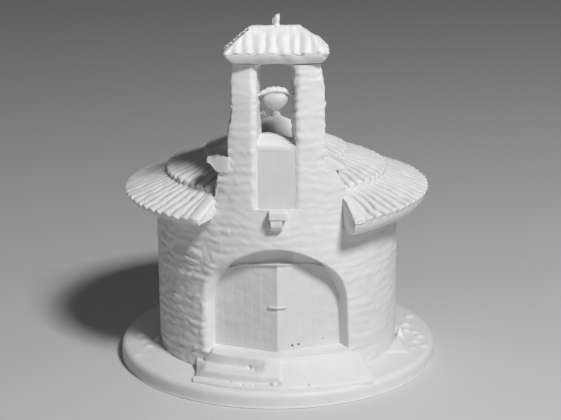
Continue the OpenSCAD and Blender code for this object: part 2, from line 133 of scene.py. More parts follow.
def rough(points, layers):
    """Layers of lumps on top of each other, in millimetres."""
    return sum(height * lumps(points, size, seed) for height, size, seed in layers)


def packed(*parts):
    """Points from their coordinates, each an array or one value for all."""
    return np.stack(np.broadcast_arrays(*parts), axis=-1)


def sway(points, height, size, seed):
    """Lumps in two directions at once, in millimetres."""
    return height * packed(lumps(points, size, seed), lumps(points, size, seed + 1))


def ease(value, start, end):
    """A soft rise from 0 at the start to 1 at the end."""
    part = np.clip((value - start) / (end - start), 0, 1)
    return part * part * (3 - 2 * part)


def net(rows, columns, closed):
    """Quads between the rows of a grid of points, joined round where the rows are closed."""
    row = np.arange(rows - 1)[:, None] * columns
    column = np.arange(columns if closed else columns - 1)[None, :]
    after = (column + 1) % columns
    corners = [row + column, row + after, row + columns + after, row + columns + column]
    return np.stack(corners, axis=-1).reshape(-1, 4).tolist()


def stacked(rings):
    """Points and faces of a solid from closed rings, with a flat end on the first and the last."""
    rows, columns = rings.shape[:2]
    first = list(range(columns))
    last = list(range((rows - 1) * columns, rows * columns))
    return rings.reshape(-1, 3), net(rows, columns, True) + [first, last]


def whole_turn(columns):
    """Even turns from the front, once round."""
    return np.linspace(0, 2 * math.pi, columns, endpoint=False)


def turned(radius, height, turn):
    """Rings of a turned shape: a radius and a height for each ring, at some turns from the front."""
    radius = radius[:, None]
    return packed(radius * np.sin(turn), -radius * np.cos(turn), height[:, None])


def printed_piece(name, points, faces, plastic, crease):
    """A closed solid of printed plastic from points in millimetres."""
    mesh = bpy.data.meshes.new(name)
    mesh.from_pydata((np.asarray(points) * MM).tolist(), [], faces)
    shell = bmesh.new()
    shell.from_mesh(mesh)
    bmesh.ops.remove_doubles(shell, verts=shell.verts, dist=1e-7)
    bmesh.ops.recalc_face_normals(shell, faces=shell.faces)
    shell.to_mesh(mesh)
    shell.free()
    mesh.shade_smooth()
    mesh.set_sharp_from_angle(angle=math.radians(crease))
    mesh.materials.append(plastic)
    piece = bpy.data.objects.new(name, mesh)
    scene.collection.objects.link(piece)
    return piece


def stand_for(piece, *nodes):
    """A finished piece stands for some CAD nodes, which it hides, and rides on the model's one body."""
    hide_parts(*nodes)
    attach(piece, "root")


def tree_node(tree, kind, *feeds, **settings):
    """A node with its settings, fed in order by other nodes' sockets or by plain values."""
    made = tree.nodes.new(kind)
    for name, value in settings.items():
        setattr(made, name, value)
    for socket, feed in zip(made.inputs, feeds):
        if isinstance(feed, bpy.types.NodeSocket):
            tree.links.new(feed, socket)
        elif feed is not None:
            socket.default_value = feed
    return made


def calc(tree, operation, *feeds):
    """The result of one sum of a node tree."""
    return tree_node(tree, "ShaderNodeMath", *feeds, operation=operation).outputs[0]


# The print's finish, for every piece: level layer lines, a faint mottle and a fine grain.
finish = bpy.data.node_groups.new("print_finish", "ShaderNodeTree")
finish.interface.new_socket("Place", in_out="INPUT", socket_type="NodeSocketVector")
for name in ("Layer height", "Waver"):
    finish.interface.new_socket(name, in_out="INPUT", socket_type="NodeSocketFloat")
for name in ("Layers", "Mottle", "Grain"):
    finish.interface.new_socket(name, in_out="OUTPUT", socket_type="NodeSocketFloat")
given = tree_node(finish, "NodeGroupInput")
level = tree_node(finish, "ShaderNodeSeparateXYZ", given.outputs["Place"])
mottle = tree_node(finish, "ShaderNodeTexNoise", given.outputs["Place"])
mottle.inputs["Scale"].default_value = MOTTLE_SCALE
mottle.inputs["Detail"].default_value = 3.0
grain = tree_node(finish, "ShaderNodeTexNoise", given.outputs["Place"])
grain.inputs["Scale"].default_value = GRAIN_SCALE
grain.inputs["Detail"].default_value = 2.0
count = calc(finish, "DIVIDE", level.outputs["Z"], given.outputs["Layer height"])
drift = calc(finish, "MULTIPLY_ADD", mottle.outputs["Fac"], given.outputs["Waver"], count)
wave = calc(finish, "SINE", calc(finish, "MULTIPLY", drift, 2 * math.pi))
layers = calc(finish, "MULTIPLY_ADD", wave, 0.5, 0.5)
tree_node(finish, "NodeGroupOutput", layers, mottle.outputs["Fac"], grain.outputs["Fac"])


def warm_white(level):
    """A white of a given level, a little less blue than grey."""
    return level, level, level - WARMTH, 1


def print_plastic(name, white, shade, gloss, grain_depth):
    """White printed plastic: colour and gloss follow the mottle, the bump has layers and grain."""
    plastic = bpy.data.materials.new(name)
    plastic.use_nodes = True
    tree = plastic.node_tree
    shader = tree.nodes["Principled BSDF"]
    place = tree_node(tree, "ShaderNodeTexCoord")
    made = tree.nodes.new("ShaderNodeGroup")
    made.node_tree = finish
    tree.links.new(place.outputs["Object"], made.inputs["Place"])
    made.inputs["Layer height"].default_value = LAYER_HEIGHT * MM
    made.inputs["Waver"].default_value = LAYER_WAVER
    tone = tree_node(tree, "ShaderNodeMapRange", made.outputs["Mottle"], *MOTTLE_RANGE)
    mix = tree_node(tree, "ShaderNodeMix", data_type="RGBA")
    tree.links.new(tone.outputs[0], mix.inputs["Factor"])
    mix.inputs[6].default_value = warm_white(shade)
    mix.inputs[7].default_value = warm_white(white)
    tree.links.new(mix.outputs[2], shader.inputs["Base Color"])
    sheen = tree_node(tree, "ShaderNodeMapRange", made.outputs["Mottle"], *MOTTLE_RANGE, *gloss)
    tree.links.new(sheen.outputs[0], shader.inputs["Roughness"])
    bumps = None
    for output, depth in (("Layers", LAYER_DEPTH), ("Grain", grain_depth)):
        bump = tree_node(tree, "ShaderNodeBump")
        bump.inputs["Strength"].default_value = 1.0
        bump.inputs["Distance"].default_value = depth * MM
        tree.links.new(made.outputs[output], bump.inputs["Height"])
        if bumps:
            tree.links.new(bumps.outputs["Normal"], bump.inputs["Normal"])
        bumps = bump
    tree.links.new(bumps.outputs["Normal"], shader.inputs["Normal"])
    return plastic


base_r, _, base_top = node_box("base_disc")[1]
rim = [(BASE_RIM_ROUND * (1 - math.cos(t)), BASE_RIM_ROUND * (1 - math.sin(t)))
       for t in np.linspace(0, math.pi / 2, 6)[1:]]
outline = [(base_r - 0.1, 0.0), (base_r + BASE_FOOT_SPREAD, 0.08), (base_r + BASE_FOOT_SPREAD, 0.16),
           (base_r, BASE_FOOT_HEIGHT)]
outline += [(base_r, z) for z in np.linspace(BASE_FOOT_HEIGHT + 0.3, base_top - BASE_RIM_ROUND, 6)]
outline += [(base_r - inward, base_top - down) for inward, down in rim]
flat_r = base_r - BASE_RIM_ROUND - BASE_STEP
outline += [(r, base_top) for r in np.arange(flat_r, BASE_NET_INSIDE, -BASE_STEP)]
plate = turned(*np.array(outline).T, whole_turn(BASE_COLUMNS))
rise = np.zeros(plate.shape[:2])
for x, y, half, height in BASE_BLOBS:
    off = np.hypot(plate[..., 0] - x, plate[..., 1] - y) / half
    rise = np.maximum(rise, height * (1 - ease(off, *BLOB_EDGE)))
tent = np.array(TENT_END) - np.array(TENT_APEX)
tent_length = np.hypot(*tent)
from_apex = plate[..., :2] - np.array(TENT_APEX)
down = (from_apex @ tent) / tent_length ** 2
across = np.abs(from_apex[..., 0] * tent[1] - from_apex[..., 1] * tent[0]) / tent_length
flat = np.clip(3 * (1 - across / (TENT_HALF * np.clip(down, 0.02, 1))), 0, 1)
flat = flat * (1 - TENT_FALL * np.clip(down, 0, 1)) * (down > 0) * (1 - ease(down, 0.93, 1.0))
rise = np.maximum(rise, TENT_HEIGHT * flat)
on_top = ease(plate[..., 2], base_top - 0.5, base_top)
plate[..., 2] += on_top * (rise + rough(plate, BASE_TOP_LUMPS))
out = (1 - on_top) * (plate[..., 2] > 0.2) * rough(plate * (1, 1, 3), BASE_RIM_LUMPS)
plate[..., :2] *= 1 + (out / base_r)[..., None]
base_plastic = print_plastic("base_plastic", 0.80, 0.765, (0.62, 0.5), 0.006)
stand_for(printed_piece("base_plate", *stacked(plate), base_plastic, 60), "base_disc")

# The front steps: curb, landing, step, ramp and threshold stone before the door, one fused white print.
# Their edges melted soft, the ramp spreads to the right, and pits stayed where layers failed.
STEP_NODES = ("front_curb", "left_landing", "middle_step", "right_apron", "threshold")
STEP_NET = 0.17
STEP_ROUNDS = 20
STEP_LUMPS = ((0.07, 2.6, 11), (0.03, 0.8, 12))
# Pits: x, y, z, half width and depth in millimetres.
STEP_PITS = ((-5.0, -23.0, 5.1, 0.4, 0.8), (-14.8, -21.6, 4.0, 0.45, 0.7), (-8.6, -25.9, 3.4, 0.3, 0.6),
             (-6.5, -27.0, 3.4, 0.3, 0.6), (-4.2, -27.6, 3.4, 0.32, 0.6), (-1.3, -27.4, 3.5, 0.35, 0.7),
             (5.2, -27.6, 3.6, 0.3, 0.6))
STEP_PIT_EDGE = (0.2, 1.3)
# The middle step falls away left of these x, in front of these y and under these z.
SLOPE_X = (-4.3, -1.9)
SLOPE_Y = (22.9, 23.3)
SLOPE_Z = (6.45, 6.65)
SLOPE_FOOT = 5.0
SLOPE_SHARE = 0.9
SILL_END_X = (-13.5, -11.6)
SILL_END_FOOT = 4.9
SILL_END_SHARE = 0.75
RAMP_SPREAD = 2.3
RAMP_X = (5.0, 14.9)
RAMP_FAR = (22.8, 28.8)
LANDING_END_X = (-15.2, -12.8)
LANDING_END_FAR = (23.3, 24.6)
LANDING_END_Z = (3.2, 4.8)
LANDING_END_FALL = 1.25
BURIED = 0.7


def melted(nodes, step, rounds):
    """The CAD solids of some nodes on one fine net with softened edges: points, normals and faces."""
    shell = bmesh.new()
    for node in nodes:
        shell.from_mesh(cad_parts[node].data)
    bmesh.ops.remove_doubles(shell, verts=shell.verts, dist=1e-7)
    bmesh.ops.scale(shell, vec=(1 / MM, 1 / MM, 1 / MM), verts=shell.verts)
    mesh = bpy.data.meshes.new("melt")
    shell.to_mesh(mesh)
    shell.free()
    melt = bpy.data.objects.new("melt", mesh)
    scene.collection.objects.link(melt)
    fine = melt.modifiers.new("fine", "REMESH")
    fine.mode = "VOXEL"
    fine.voxel_size = step
    soft = melt.modifiers.new("soft", "SMOOTH")
    soft.factor = 0.5
    soft.iterations = rounds
    done = bpy.data.meshes.new_from_object(melt.evaluated_get(bpy.context.evaluated_depsgraph_get()))
    points = np.empty((len(done.vertices), 3))
    normals = np.empty((len(done.vertices), 3))
    done.vertices.foreach_get("co", points.ravel())
    done.vertices.foreach_get("normal", normals.ravel())
    faces = [list(face.vertices) for face in done.polygons]
    bpy.data.objects.remove(melt)
    bpy.data.meshes.remove(mesh)
    bpy.data.meshes.remove(done)
    return points, normals, faces


points, normals, faces = melted(STEP_NODES, STEP_NET, STEP_ROUNDS)
sink = np.zeros(len(points))
for x, y, z, half, depth in STEP_PITS:
    off = np.linalg.norm(points - (x, y, z), axis=1) / half
    sink = np.maximum(sink, depth * (1 - ease(off, *STEP_PIT_EDGE)))
points = points + normals * (rough(points, STEP_LUMPS) - sink)[:, None]
x, y, z = points.T
far = np.hypot(x, y)
slope = (1 - ease(x, *SLOPE_X)) * ease(-y, *SLOPE_Y) * (1 - ease(z, *SLOPE_Z))
z -= SLOPE_SHARE * slope * np.clip(z - SLOPE_FOOT, 0, None)
z -= SILL_END_SHARE * (1 - ease(x, *SILL_END_X)) * np.clip(z - SILL_END_FOOT, 0, None)
landing_end = (1 - ease(x, *LANDING_END_X)) * ease(far, *LANDING_END_FAR)
buried = 1 - ease(z, base_top, base_top + 0.5)
x += RAMP_SPREAD * ease(x, *RAMP_X) * ease(far, *RAMP_FAR)
z -= LANDING_END_FALL * landing_end * ease(z, *LANDING_END_Z) + BURIED * buried
step_plastic = print_plastic("step_plastic", 0.80, 0.76, (0.62, 0.5), 0.006)
stand_for(printed_piece("front_steps", points, faces, step_plastic, 70), *STEP_NODES)

# The round wall: the church's drum of rubble stones in courses, printed upright as one white shell.
# A wide splayed door arch with a round, softly pointed head is cut into its front. A cove carries the eave.
WALL_SEED = 21
WALL_FINE = 0.165
WALL_BROAD = 0.33
WALL_ROW = 0.2
WALL_FINE_HALF = math.radians(40)
WALL_TOP = 33.7
STONE_COURSE = (1.3, 1.95)
STONE_LENGTH = (1.9, 4.8)
JOINT_DEPTH = 0.17
JOINT_HALF = 0.48
STONE_OUT = 0.1
STONE_TILT = 0.13
STONE_STRENGTH = 0.8
# How strongly the stones came out round the wall: the turn from the front in degrees and a share.
STONE_SHARE = ((-180, 0.8), (-100, 0.6), (-84, 0.35), (-68, 1.15), (-40, 1.1), (-24, 0.7), (-8, 0.4),
               (24, 0.38), (60, 0.5), (100, 0.6), (180, 0.8))
SILL_Z = 7.0
ARCH_Y = -18.557
ARCH_HALF = 12.9
ARCH_RISE = 10.5
ARCH_POWER = 1.85
SPRING_Z = 15.5
ARCH_LEAN = 0.05
ARCH_LEAN_HEIGHT = 8
ARCH_SPLAY = 0.6
CROWN_SPLAY = 0.2
CROWN_Z = (19.5, 25.0)
# The arch's edge is softer on the left: its softness there and on the right, and where the two meet.
ARCH_EDGE = (2.6, 0.8)
ARCH_EDGE_X = (-7.0, 4.0)
# A spot where the edge is softer still: x, z, reach and how much softer.
ARCH_SPOT = (-10.5, 22.5, 3.0, 1.6)
DOOR_Y = -20.7
DOOR_LEAN = math.tan(math.radians(22.5))
DOOR_TOP = 24.0
DOOR_TOP_FALL = 0.11
BEHIND_DOOR = (1.1, 0.35)
LUNETTE_Y = -19.1
CUT_SWING = math.radians(2.9)
EAVE_CUT = math.radians(29)
COVE_HEIGHT = 2.0
COVE_OUT = 1.6


def traced(value, outline):
    """Reads an outline, given as pairs, at some values."""
    return np.interp(value, *zip(*outline))


def between(pair, share):
    """A value between two, by a share."""
    return pair[0] + (pair[1] - pair[0]) * share


def stone_relief(along, up, seed):
    """How far rubble stones stand out of their joints, along the wall and up it, in millimetres."""
    spot = packed(along, up, 0.0)
    level = up + 0.6 * lumps(spot, 5.0, seed) + 0.35 * lumps(spot, 1.7, seed + 3)
    shift = along + 0.9 * lumps(spot, 1.6, seed + 1)
    beds = -6 + np.cumsum(np.random.default_rng(seed).uniform(*STONE_COURSE, 70))
    course = np.clip(np.searchsorted(beds, level) - 1, 0, len(beds) - 2)
    relief = np.zeros_like(along)
    for number in np.unique(course):
        here = course == number
        dice = np.random.default_rng((seed, int(number)))
        ends = -80 + np.cumsum(dice.uniform(*STONE_LENGTH, 150))
        stone = np.clip(np.searchsorted(ends, shift[here]) - 1, 0, len(ends) - 2)
        left, right = ends[stone], ends[stone + 1]
        low, high = beds[number], beds[number + 1]
        side = np.maximum(np.minimum(shift[here] - left, right - shift[here]), 0)
        bed = np.maximum(np.minimum(level[here] - low, high - level[here]), 0)
        face = (1 - 0.6 * np.exp(-(side / JOINT_HALF) ** 2)) * (1 - np.exp(-(bed / JOINT_HALF) ** 2))
        out = dice.normal(0, STONE_OUT, len(ends))[stone]
        tilt_side, tilt_up = dice.uniform(-STONE_TILT, STONE_TILT, (2, len(ends)))
        tilt = tilt_side[stone] * (2 * (shift[here] - left) / (right - left) - 1)
        tilt = tilt + tilt_up[stone] * (2 * (level[here] - low) / (high - low) - 1)
        relief[here] = STONE_STRENGTH * ((JOINT_DEPTH + out + tilt) * face - JOINT_DEPTH)
    grit = 0.08 * lumps(spot * (0.7, 1.2, 1), 0.9, seed + 2)
    return relief + (grit + 0.09 * lumps(spot * (0.6, 1.1, 1), 2.0, seed + 5))


def arch_distance(x, z):
    """How far a point of the front view lies outside the door arch, or inside where it is below zero."""
    x = np.abs(x)
    up = np.clip(z - SPRING_Z, 0, None)
    share = ((x / ARCH_HALF) ** ARCH_POWER + (up / ARCH_RISE) ** ARCH_POWER) ** (1 / ARCH_POWER)
    return (1 - 1 / np.maximum(share, 0.01)) * np.hypot(x, up)


wall_r = node_box("drum_wall")[1][0]
fine_turn = np.arange(-WALL_FINE_HALF, WALL_FINE_HALF, WALL_FINE / wall_r)
broad_count = int((2 * math.pi - 2 * WALL_FINE_HALF) * wall_r / WALL_BROAD)
broad_turn = np.linspace(WALL_FINE_HALF, 2 * math.pi - WALL_FINE_HALF, broad_count, endpoint=False)
turn = np.concatenate([fine_turn, broad_turn])
turn = np.where(turn > math.pi, turn - 2 * math.pi, turn)
turn, height = np.meshgrid(turn, np.arange(base_top - 0.4, WALL_TOP + 0.01, WALL_ROW))
relief = stone_relief(wall_r * turn, height, WALL_SEED)
seam = np.exp(-((math.pi - np.abs(turn)) * wall_r / JOINT_HALF) ** 2)
relief = (relief * (1 - seam) - JOINT_DEPTH * seam) * traced(np.degrees(turn), STONE_SHARE)
cove = np.clip((height - (WALL_TOP - COVE_HEIGHT)) / COVE_HEIGHT, 0, 1)
cove = COVE_OUT * (1 - np.sqrt(1 - cove ** 2)) * ((turn < -EAVE_CUT) | (turn > EAVE_CUT + CUT_SWING))
radius = wall_r + relief + cove
x = radius * np.sin(turn)
face_y = -radius * np.cos(turn)
arch_x = x + ARCH_LEAN * np.clip(height - SILL_Z, 0, ARCH_LEAN_HEIGHT) * ease(x, 0, 6)
arch_splay = between((ARCH_SPLAY, CROWN_SPLAY), ease(height, *CROWN_Z))
reveal_y = ARCH_Y - arch_distance(arch_x, height) / arch_splay + 0.4 * relief
leaf_y = DOOR_Y + np.abs(x) * DOOR_LEAN
recess = ease(height + DOOR_TOP_FALL * np.abs(x), DOOR_TOP - 0.6, DOOR_TOP - 0.25)
behind_y = leaf_y + between(BEHIND_DOOR, ease(height, DOOR_TOP - 4.0, DOOR_TOP - 2.0))
back_y = between((behind_y, np.maximum(LUNETTE_Y, leaf_y + BEHIND_DOOR[1])), recess)
hollow_y = np.minimum(reveal_y, back_y)
opened = (np.abs(turn) < WALL_FINE_HALF) * ease(height, SILL_Z - 0.6, SILL_Z - 0.3)
spot_x, spot_z, spot_reach, spot_more = ARCH_SPOT
soft = between(ARCH_EDGE, ease(x, *ARCH_EDGE_X))
soft = soft + spot_more * np.exp(-((x - spot_x) ** 2 + (height - spot_z) ** 2) / spot_reach ** 2)
near = np.clip(1 - np.abs(hollow_y - face_y) / soft, 0, 1)
deep_y = np.maximum(face_y, hollow_y) + 0.25 * soft * near ** 2
wall = packed(x, face_y + opened * (deep_y - face_y), height)
wall_plastic = print_plastic("wall_plastic", 0.80, 0.755, (0.64, 0.52), 0.008)
stand_for(printed_piece("round_wall", *stacked(wall), wall_plastic, 75), "drum_wall", "eave_cove")

# The door: two leaves of upright planks that meet at a low post in a shallow point, all one print.
# A small square capital sits on the post, and the leaves stop in a top edge with a soft lip under the arch.
DOOR_NODES = ("left_door", "right_door", "door_post")
DOOR_NET = 0.15
DOOR_ROUNDS = 3
DOOR_LUMPS = ((0.05, 1.2, 31),)
DOOR_GRIT = ((0.02, 0.6, 32),)
PLANK_PITCH = 1.75
PLANK_GROOVE = 0.022
PLANK_GROOVE_HALF = 0.16
POST_SINK = 0.9
DOOR_GROWTH = 0.3
DOOR_MIDDLE_Z = 15.0
DOOR_DROP = 0.3
DOOR_LIP = 0.5
DOOR_LIP_HALF = 0.28
# Pits low in the right leaf: x, z, half width and depth in millimetres.
DOOR_PITS = ((2.55, 7.75, 0.3, 0.9), (3.7, 7.8, 0.26, 0.8), (8.1, 8.3, 0.2, 0.3))
DOOR_PIT_EDGE = (0.3, 1.2)
CAPITAL_LUMPS = ((0.04, 1.1, 35),)
CAPITAL_SET_BACK = 0.22
CAPITAL_RISE = 0.7
CAPITAL_FLAT = 0.5

# The door leaves, their capital and the blind panel get a darker white: painted shade for their recesses
# under the arch and in the slot.
recess_shade_plastic = print_plastic("recess_shade_plastic", 0.74, 0.70, (0.6, 0.5), 0.006)
points, normals, faces = melted(DOOR_NODES, DOOR_NET, DOOR_ROUNDS)
x, y, z = points.T
y += POST_SINK * np.clip(DOOR_Y + np.abs(x) * DOOR_LEAN - y, 0, None)
spread = points[:, (0, 2)] - (0.0, DOOR_MIDDLE_Z)
border = ease(arch_distance(x, z) + ARCH_SPLAY * (y - ARCH_Y), -0.6, -0.1)
border = np.maximum(border, 1 - ease(z, SILL_Z, SILL_Z + 0.4)) * (z < DOOR_TOP - DOOR_DROP)
points[:, (0, 2)] += DOOR_GROWTH * border[:, None] * spread / np.linalg.norm(spread, axis=1, keepdims=True)
z -= (DOOR_DROP + DOOR_TOP_FALL * np.abs(x)) * ease(z, DOOR_TOP - 2.5, DOOR_TOP)
edge_z = DOOR_TOP - DOOR_DROP - DOOR_TOP_FALL * np.abs(x)
lip = np.exp(-((z - edge_z) / DOOR_LIP_HALF) ** 2) * (1 - ease(np.abs(x + 1.5), 2.5, 5.5))
y -= DOOR_LIP * lip * (normals[:, 1] < 0.2)
for pit_x, pit_z, half, depth in DOOR_PITS:
    off = np.hypot(x - pit_x, z - pit_z) / half
    y += depth * (1 - ease(off, *DOOR_PIT_EDGE)) * (normals[:, 1] < -0.5)
groove = np.abs(((x / PLANK_PITCH) % 1) - 0.5) * PLANK_PITCH
swell = rough(points * (0.5, 1, 1), DOOR_LUMPS) + rough(points, DOOR_GRIT)
points = points + normals * (swell - PLANK_GROOVE * np.exp(-(groove / PLANK_GROOVE_HALF) ** 2))[:, None]
stand_for(printed_piece("door_leaves", points, faces, recess_shade_plastic, 70), *DOOR_NODES)

capital_foot = node_box("post_capital")[0][2]
points, normals, faces = melted(("post_capital",), 0.1, 6)
points = points + normals * rough(points, CAPITAL_LUMPS)[:, None]
points[:, 1] += CAPITAL_SET_BACK
points[:, 2] = capital_foot + CAPITAL_RISE + CAPITAL_FLAT * (points[:, 2] - capital_foot)
stand_for(printed_piece("capital", points, faces, recess_shade_plastic, 70), "post_capital")

# The gable: the round wall carried up over the eave as a bell gable, in the same coursed stones.
# A blind slot with ragged splayed edges runs up its middle, and its sides lean in to a ledge on either hand.
GABLE_ROW = 0.2
GABLE_FOOT = 33.5
GABLE_COLUMNS = 36
SLOT_COLUMNS = 32
SPLAY_COLUMNS = 6
CORNER_STONES = 0.7
CORNER_REACH = 0.8
# The slot's two sides, left and right: x, width of the splay, depth of the slot's back and of its panel.
SLOT = (-3.2, 3.3)
SLOT_SPLAY = (0.95, 0.65)
SLOT_BACK = (-21.35, -21.7)
PANEL_SET_BACK = (0.37, 0.02)
SLOT_OUTWARD = (-1, 1)
LEFT, RIGHT = 0, 1
SPLAY_RAG = (0.35, 1.1, 43)
SILL_FALL = 1.2
panel_low = node_box("blind_panel")[0]
gable_low, gable_high = node_box("gable_wall")
gable_top = gable_high[2] - SILL_FALL - 0.1
gable_back = gable_high[1]
ledge_z = node_box("left_shoulder")[0][2]
# Outlines of the two sides from the foot upwards: height and x in millimetres.
GABLE_LEFT = ((33.0, gable_low[0]), (34.33, gable_low[0]), (ledge_z, -10.2), (ledge_z + 0.02, -8.5),
              (50.0, -8.5))
GABLE_RIGHT = ((33.0, gable_high[0]), (36.83, gable_high[0]), (ledge_z, 10.4), (ledge_z + 0.02, 8.6),
               (50.0, 8.6))


def on_curve(x):
    """Points of the round wall's face at some x, seen from above."""
    return packed(x, -np.sqrt(wall_r ** 2 - x ** 2))


def splay_edge(hand, z):
    """The x at which the slot's splay meets the wall's face at a height, on the left or the right."""
    height, size, seed = SPLAY_RAG
    rag = 1 + height * lumps(np.array((5.0 * SLOT_OUTWARD[hand], 0.0, z)), size, seed)
    return SLOT[hand] + SLOT_OUTWARD[hand] * SLOT_SPLAY[hand] * rag


def splay(hand, z, count, shift):
    """The splayed edge of the slot from the wall's face to the panel, on the left or the right."""
    outer = on_curve(np.array(splay_edge(hand, z)))
    inner = np.array((SLOT[hand] - SLOT_OUTWARD[hand] * shift, panel_low[1] + PANEL_SET_BACK[hand]))
    return outer + np.linspace(0, 1, count)[:, None] * (inner - outer)


def wall_course(front, z):
    """One level of a wall: its front line from left to right, its right side, a flat back and its left side.
    Gives the points, how far along the stones each lies, and the share of the stones' relief."""
    side = np.linspace(0, 1, 28)[1:-1]
    rear = np.linspace(front[-1, 0], front[0, 0], 40)
    right = packed(front[-1, 0], between((front[-1, 1], gable_back), side))
    left = packed(front[0, 0], between((gable_back, front[0, 1]), side))
    ring = np.concatenate([front, right, packed(rear, gable_back), left])
    turn = np.arcsin(front[:, 0] / wall_r)
    along = np.concatenate([wall_r * turn, 60 + 7 * side, 100 + rear, 140 + 7 * side])
    from_ends = np.minimum(front[:, 0] - front[0, 0], front[-1, 0] - front[:, 0])
    corner = CORNER_STONES * np.exp(-(from_ends / CORNER_REACH) ** 2)
    front_share = traced(np.degrees(turn), STONE_SHARE) + corner
    share = np.concatenate([front_share, np.full(len(ring) - len(front), 1.0)])
    return np.column_stack([ring, np.full(len(ring), z)]), along, share


def smoothed(rings, times):
    """Rings with each point drawn towards its neighbours, some times over."""
    for _ in range(times):
        rings = 0.25 * np.roll(rings, 1, axis=1) + 0.5 * rings + 0.25 * np.roll(rings, -1, axis=1)
    return rings


def dressed(rings, along, share):
    """Rings of a stone wall with the courses' relief pushed out along their level normals."""
    soft = smoothed(rings, 3)
    run = np.roll(soft, -1, axis=1) - np.roll(soft, 1, axis=1)
    outward = packed(run[..., 1], -run[..., 0])
    outward /= np.maximum(np.linalg.norm(outward, axis=-1, keepdims=True), 1e-6)
    soft[..., :2] += outward * (share * stone_relief(along, rings[..., 2], WALL_SEED))[..., None]
    return soft


slot_foot = panel_low[2]
levels = np.concatenate([np.arange(GABLE_FOOT, slot_foot, GABLE_ROW), [slot_foot - 0.01],
                         np.arange(slot_foot + 0.02, ledge_z, GABLE_ROW), [ledge_z, ledge_z + 0.02],
                         np.arange(ledge_z + 0.2, gable_top, GABLE_ROW), [gable_top]])
slot_x = np.linspace(SLOT[LEFT] + 0.03, SLOT[RIGHT] - 0.03, SLOT_COLUMNS)
slot_line = packed(slot_x, np.linspace(*SLOT_BACK, SLOT_COLUMNS))
courses = []
for z in levels:
    left_line = on_curve(np.linspace(traced(z, GABLE_LEFT), splay_edge(LEFT, z), GABLE_COLUMNS))
    right_line = on_curve(np.linspace(splay_edge(RIGHT, z), traced(z, GABLE_RIGHT), GABLE_COLUMNS))
    if z > slot_foot:
        left_splay = splay(LEFT, z, SPLAY_COLUMNS, 0)[1:]
        right_splay = splay(RIGHT, z, SPLAY_COLUMNS, 0)[::-1][:-1]
        middle = np.concatenate([left_splay, slot_line, right_splay])
    else:
        plain_x = np.linspace(left_line[-1, 0], right_line[0, 0], SLOT_COLUMNS + 2 * SPLAY_COLUMNS)
        middle = on_curve(plain_x[1:-1])
    courses.append(wall_course(np.concatenate([left_line, middle, right_line]), z))
plain, runs, shares = (np.array(part) for part in zip(*courses))
rings = dressed(plain, runs, shares)
column = np.arange(rings.shape[1])
in_slot = (column >= GABLE_COLUMNS + 2) & (column < GABLE_COLUMNS + 2 * SPLAY_COLUMNS + SLOT_COLUMNS - 4)
unworked = np.ix_(levels > slot_foot, in_slot)
rings[unworked] = plain[unworked]
stand_for(printed_piece("gable", *stacked(rings), wall_plastic, 75), "gable_wall")

# The gable's dressings: the plain blind panel in the slot, the corbel that stands under it with its slab,
# and the two wedge stones that lie on the ledges. All are solid white print with edges worn soft.
trim_plastic = print_plastic("trim_plastic", 0.80, 0.77, (0.6, 0.5), 0.006)
# Node, name, net, rounds of softening, height of its lumps, and growth along x and z in millimetres.
DRESSINGS = (("blind_panel", "panel", 0.2, 1, 0.02, (0.25, 0.15)),
             ("corbel_block", "corbel", 0.1, 14, 0.07, (0.0, 0.0)),
             ("corbel_slab", "corbel_top", 0.1, 9, 0.07, (0.05, 0.08)),
             ("left_shoulder", "left_wedge", 0.12, 8, 0.12, (0.35, 0.2)),
             ("right_shoulder", "right_wedge", 0.12, 8, 0.12, (0.35, 0.2)))
CORBEL_NARROW = 0.76
CORBEL_SHORT = 0.9
SLAB_THICK = 1.25
# The left wedge: its pinched tip, its reach into the gable, and its face against the wall's at either end.
TIP_LENGTH = 1.5
TIP_RISE = 1.7
TIP_PINCH = 0.75
LEFT_REACH = 1.8
LEFT_FACE = (-0.12, 0.58)
RIGHT_REACH = 1.0
for node, name, step, rounds, bumpy, deeper in DRESSINGS:
    points, normals, faces = melted((node,), step, rounds)
    low, high = node_box(node)
    half = (high - low) / 2
    middle = (high + low) / 2
    points = points + normals * rough(points, ((bumpy, 1.4, 41), (0.3 * bumpy, 0.5, 42)))[:, None]
    x, y, z = points.T
    x[:] = middle[0] + (x - middle[0]) * (1 + deeper[0] / half[0])
    z[:] = middle[2] + (z - middle[2]) * (1 + deeper[1] / half[2])
    if node == "blind_panel":
        y += np.interp(x, SLOT, PANEL_SET_BACK) - 0.02
        z[:] = np.minimum(z, gable_top)
    if node == "corbel_block":
        x[:] = low[0] + CORBEL_NARROW * (x - low[0])
        z[:] = high[2] + CORBEL_SHORT * (z - high[2])
    if node == "corbel_slab":
        z[:] = high[2] + SLAB_THICK * (z - high[2])
    if node == "left_shoulder":
        tip = 1 - ease(x, low[0], low[0] + TIP_LENGTH)
        z += TIP_PINCH * tip * (low[2] + TIP_RISE - z)
        x += LEFT_REACH * ease(x, high[0] - 1.0, high[0])
        flush = ease(x, low[0] + 0.3, high[0] - 0.5) * (normals[:, 1] < -0.3)
        face = on_curve(x)[:, 1] + between(LEFT_FACE, ease(x, high[0], high[0] + 1.6))
        y += flush * np.minimum(face - y, 0)
    if node == "right_shoulder":
        x -= RIGHT_REACH * (1 - ease(x, low[0], low[0] + 1.0))
    # The blind panel takes the darker white, painted shade for its recess in the slot.
    plastic = recess_shade_plastic if node == "blind_panel" else trim_plastic
    stand_for(printed_piece(name, points, faces, plastic, 70), node)

# The belfry piers: two upright stone piers beside the bell, in the same courses as the gable below.
# Their heads lean in under the cap, their inner edges are splayed, and loose plastic hangs in the left one.
PIER_ROW = 0.2
PIER_COLUMNS = 28
PIER_SPLAY_COLUMNS = 7
WINDOW_ROUND = 1.4
PIER_NARROW = (0.65, -0.5)
PIER_INSIDE_Y = (-21.9, -17.0)
PIER_INSIDE_X = 4.0
PIER_STONES = (0.6, 0.95)
HEAD_SET_BACK = 0.8
HEAD_Z = (53.5, 58.6)
pier_foot = node_box("left_pier")[0][2]
pier_head = node_box("left_pier")[1][2]
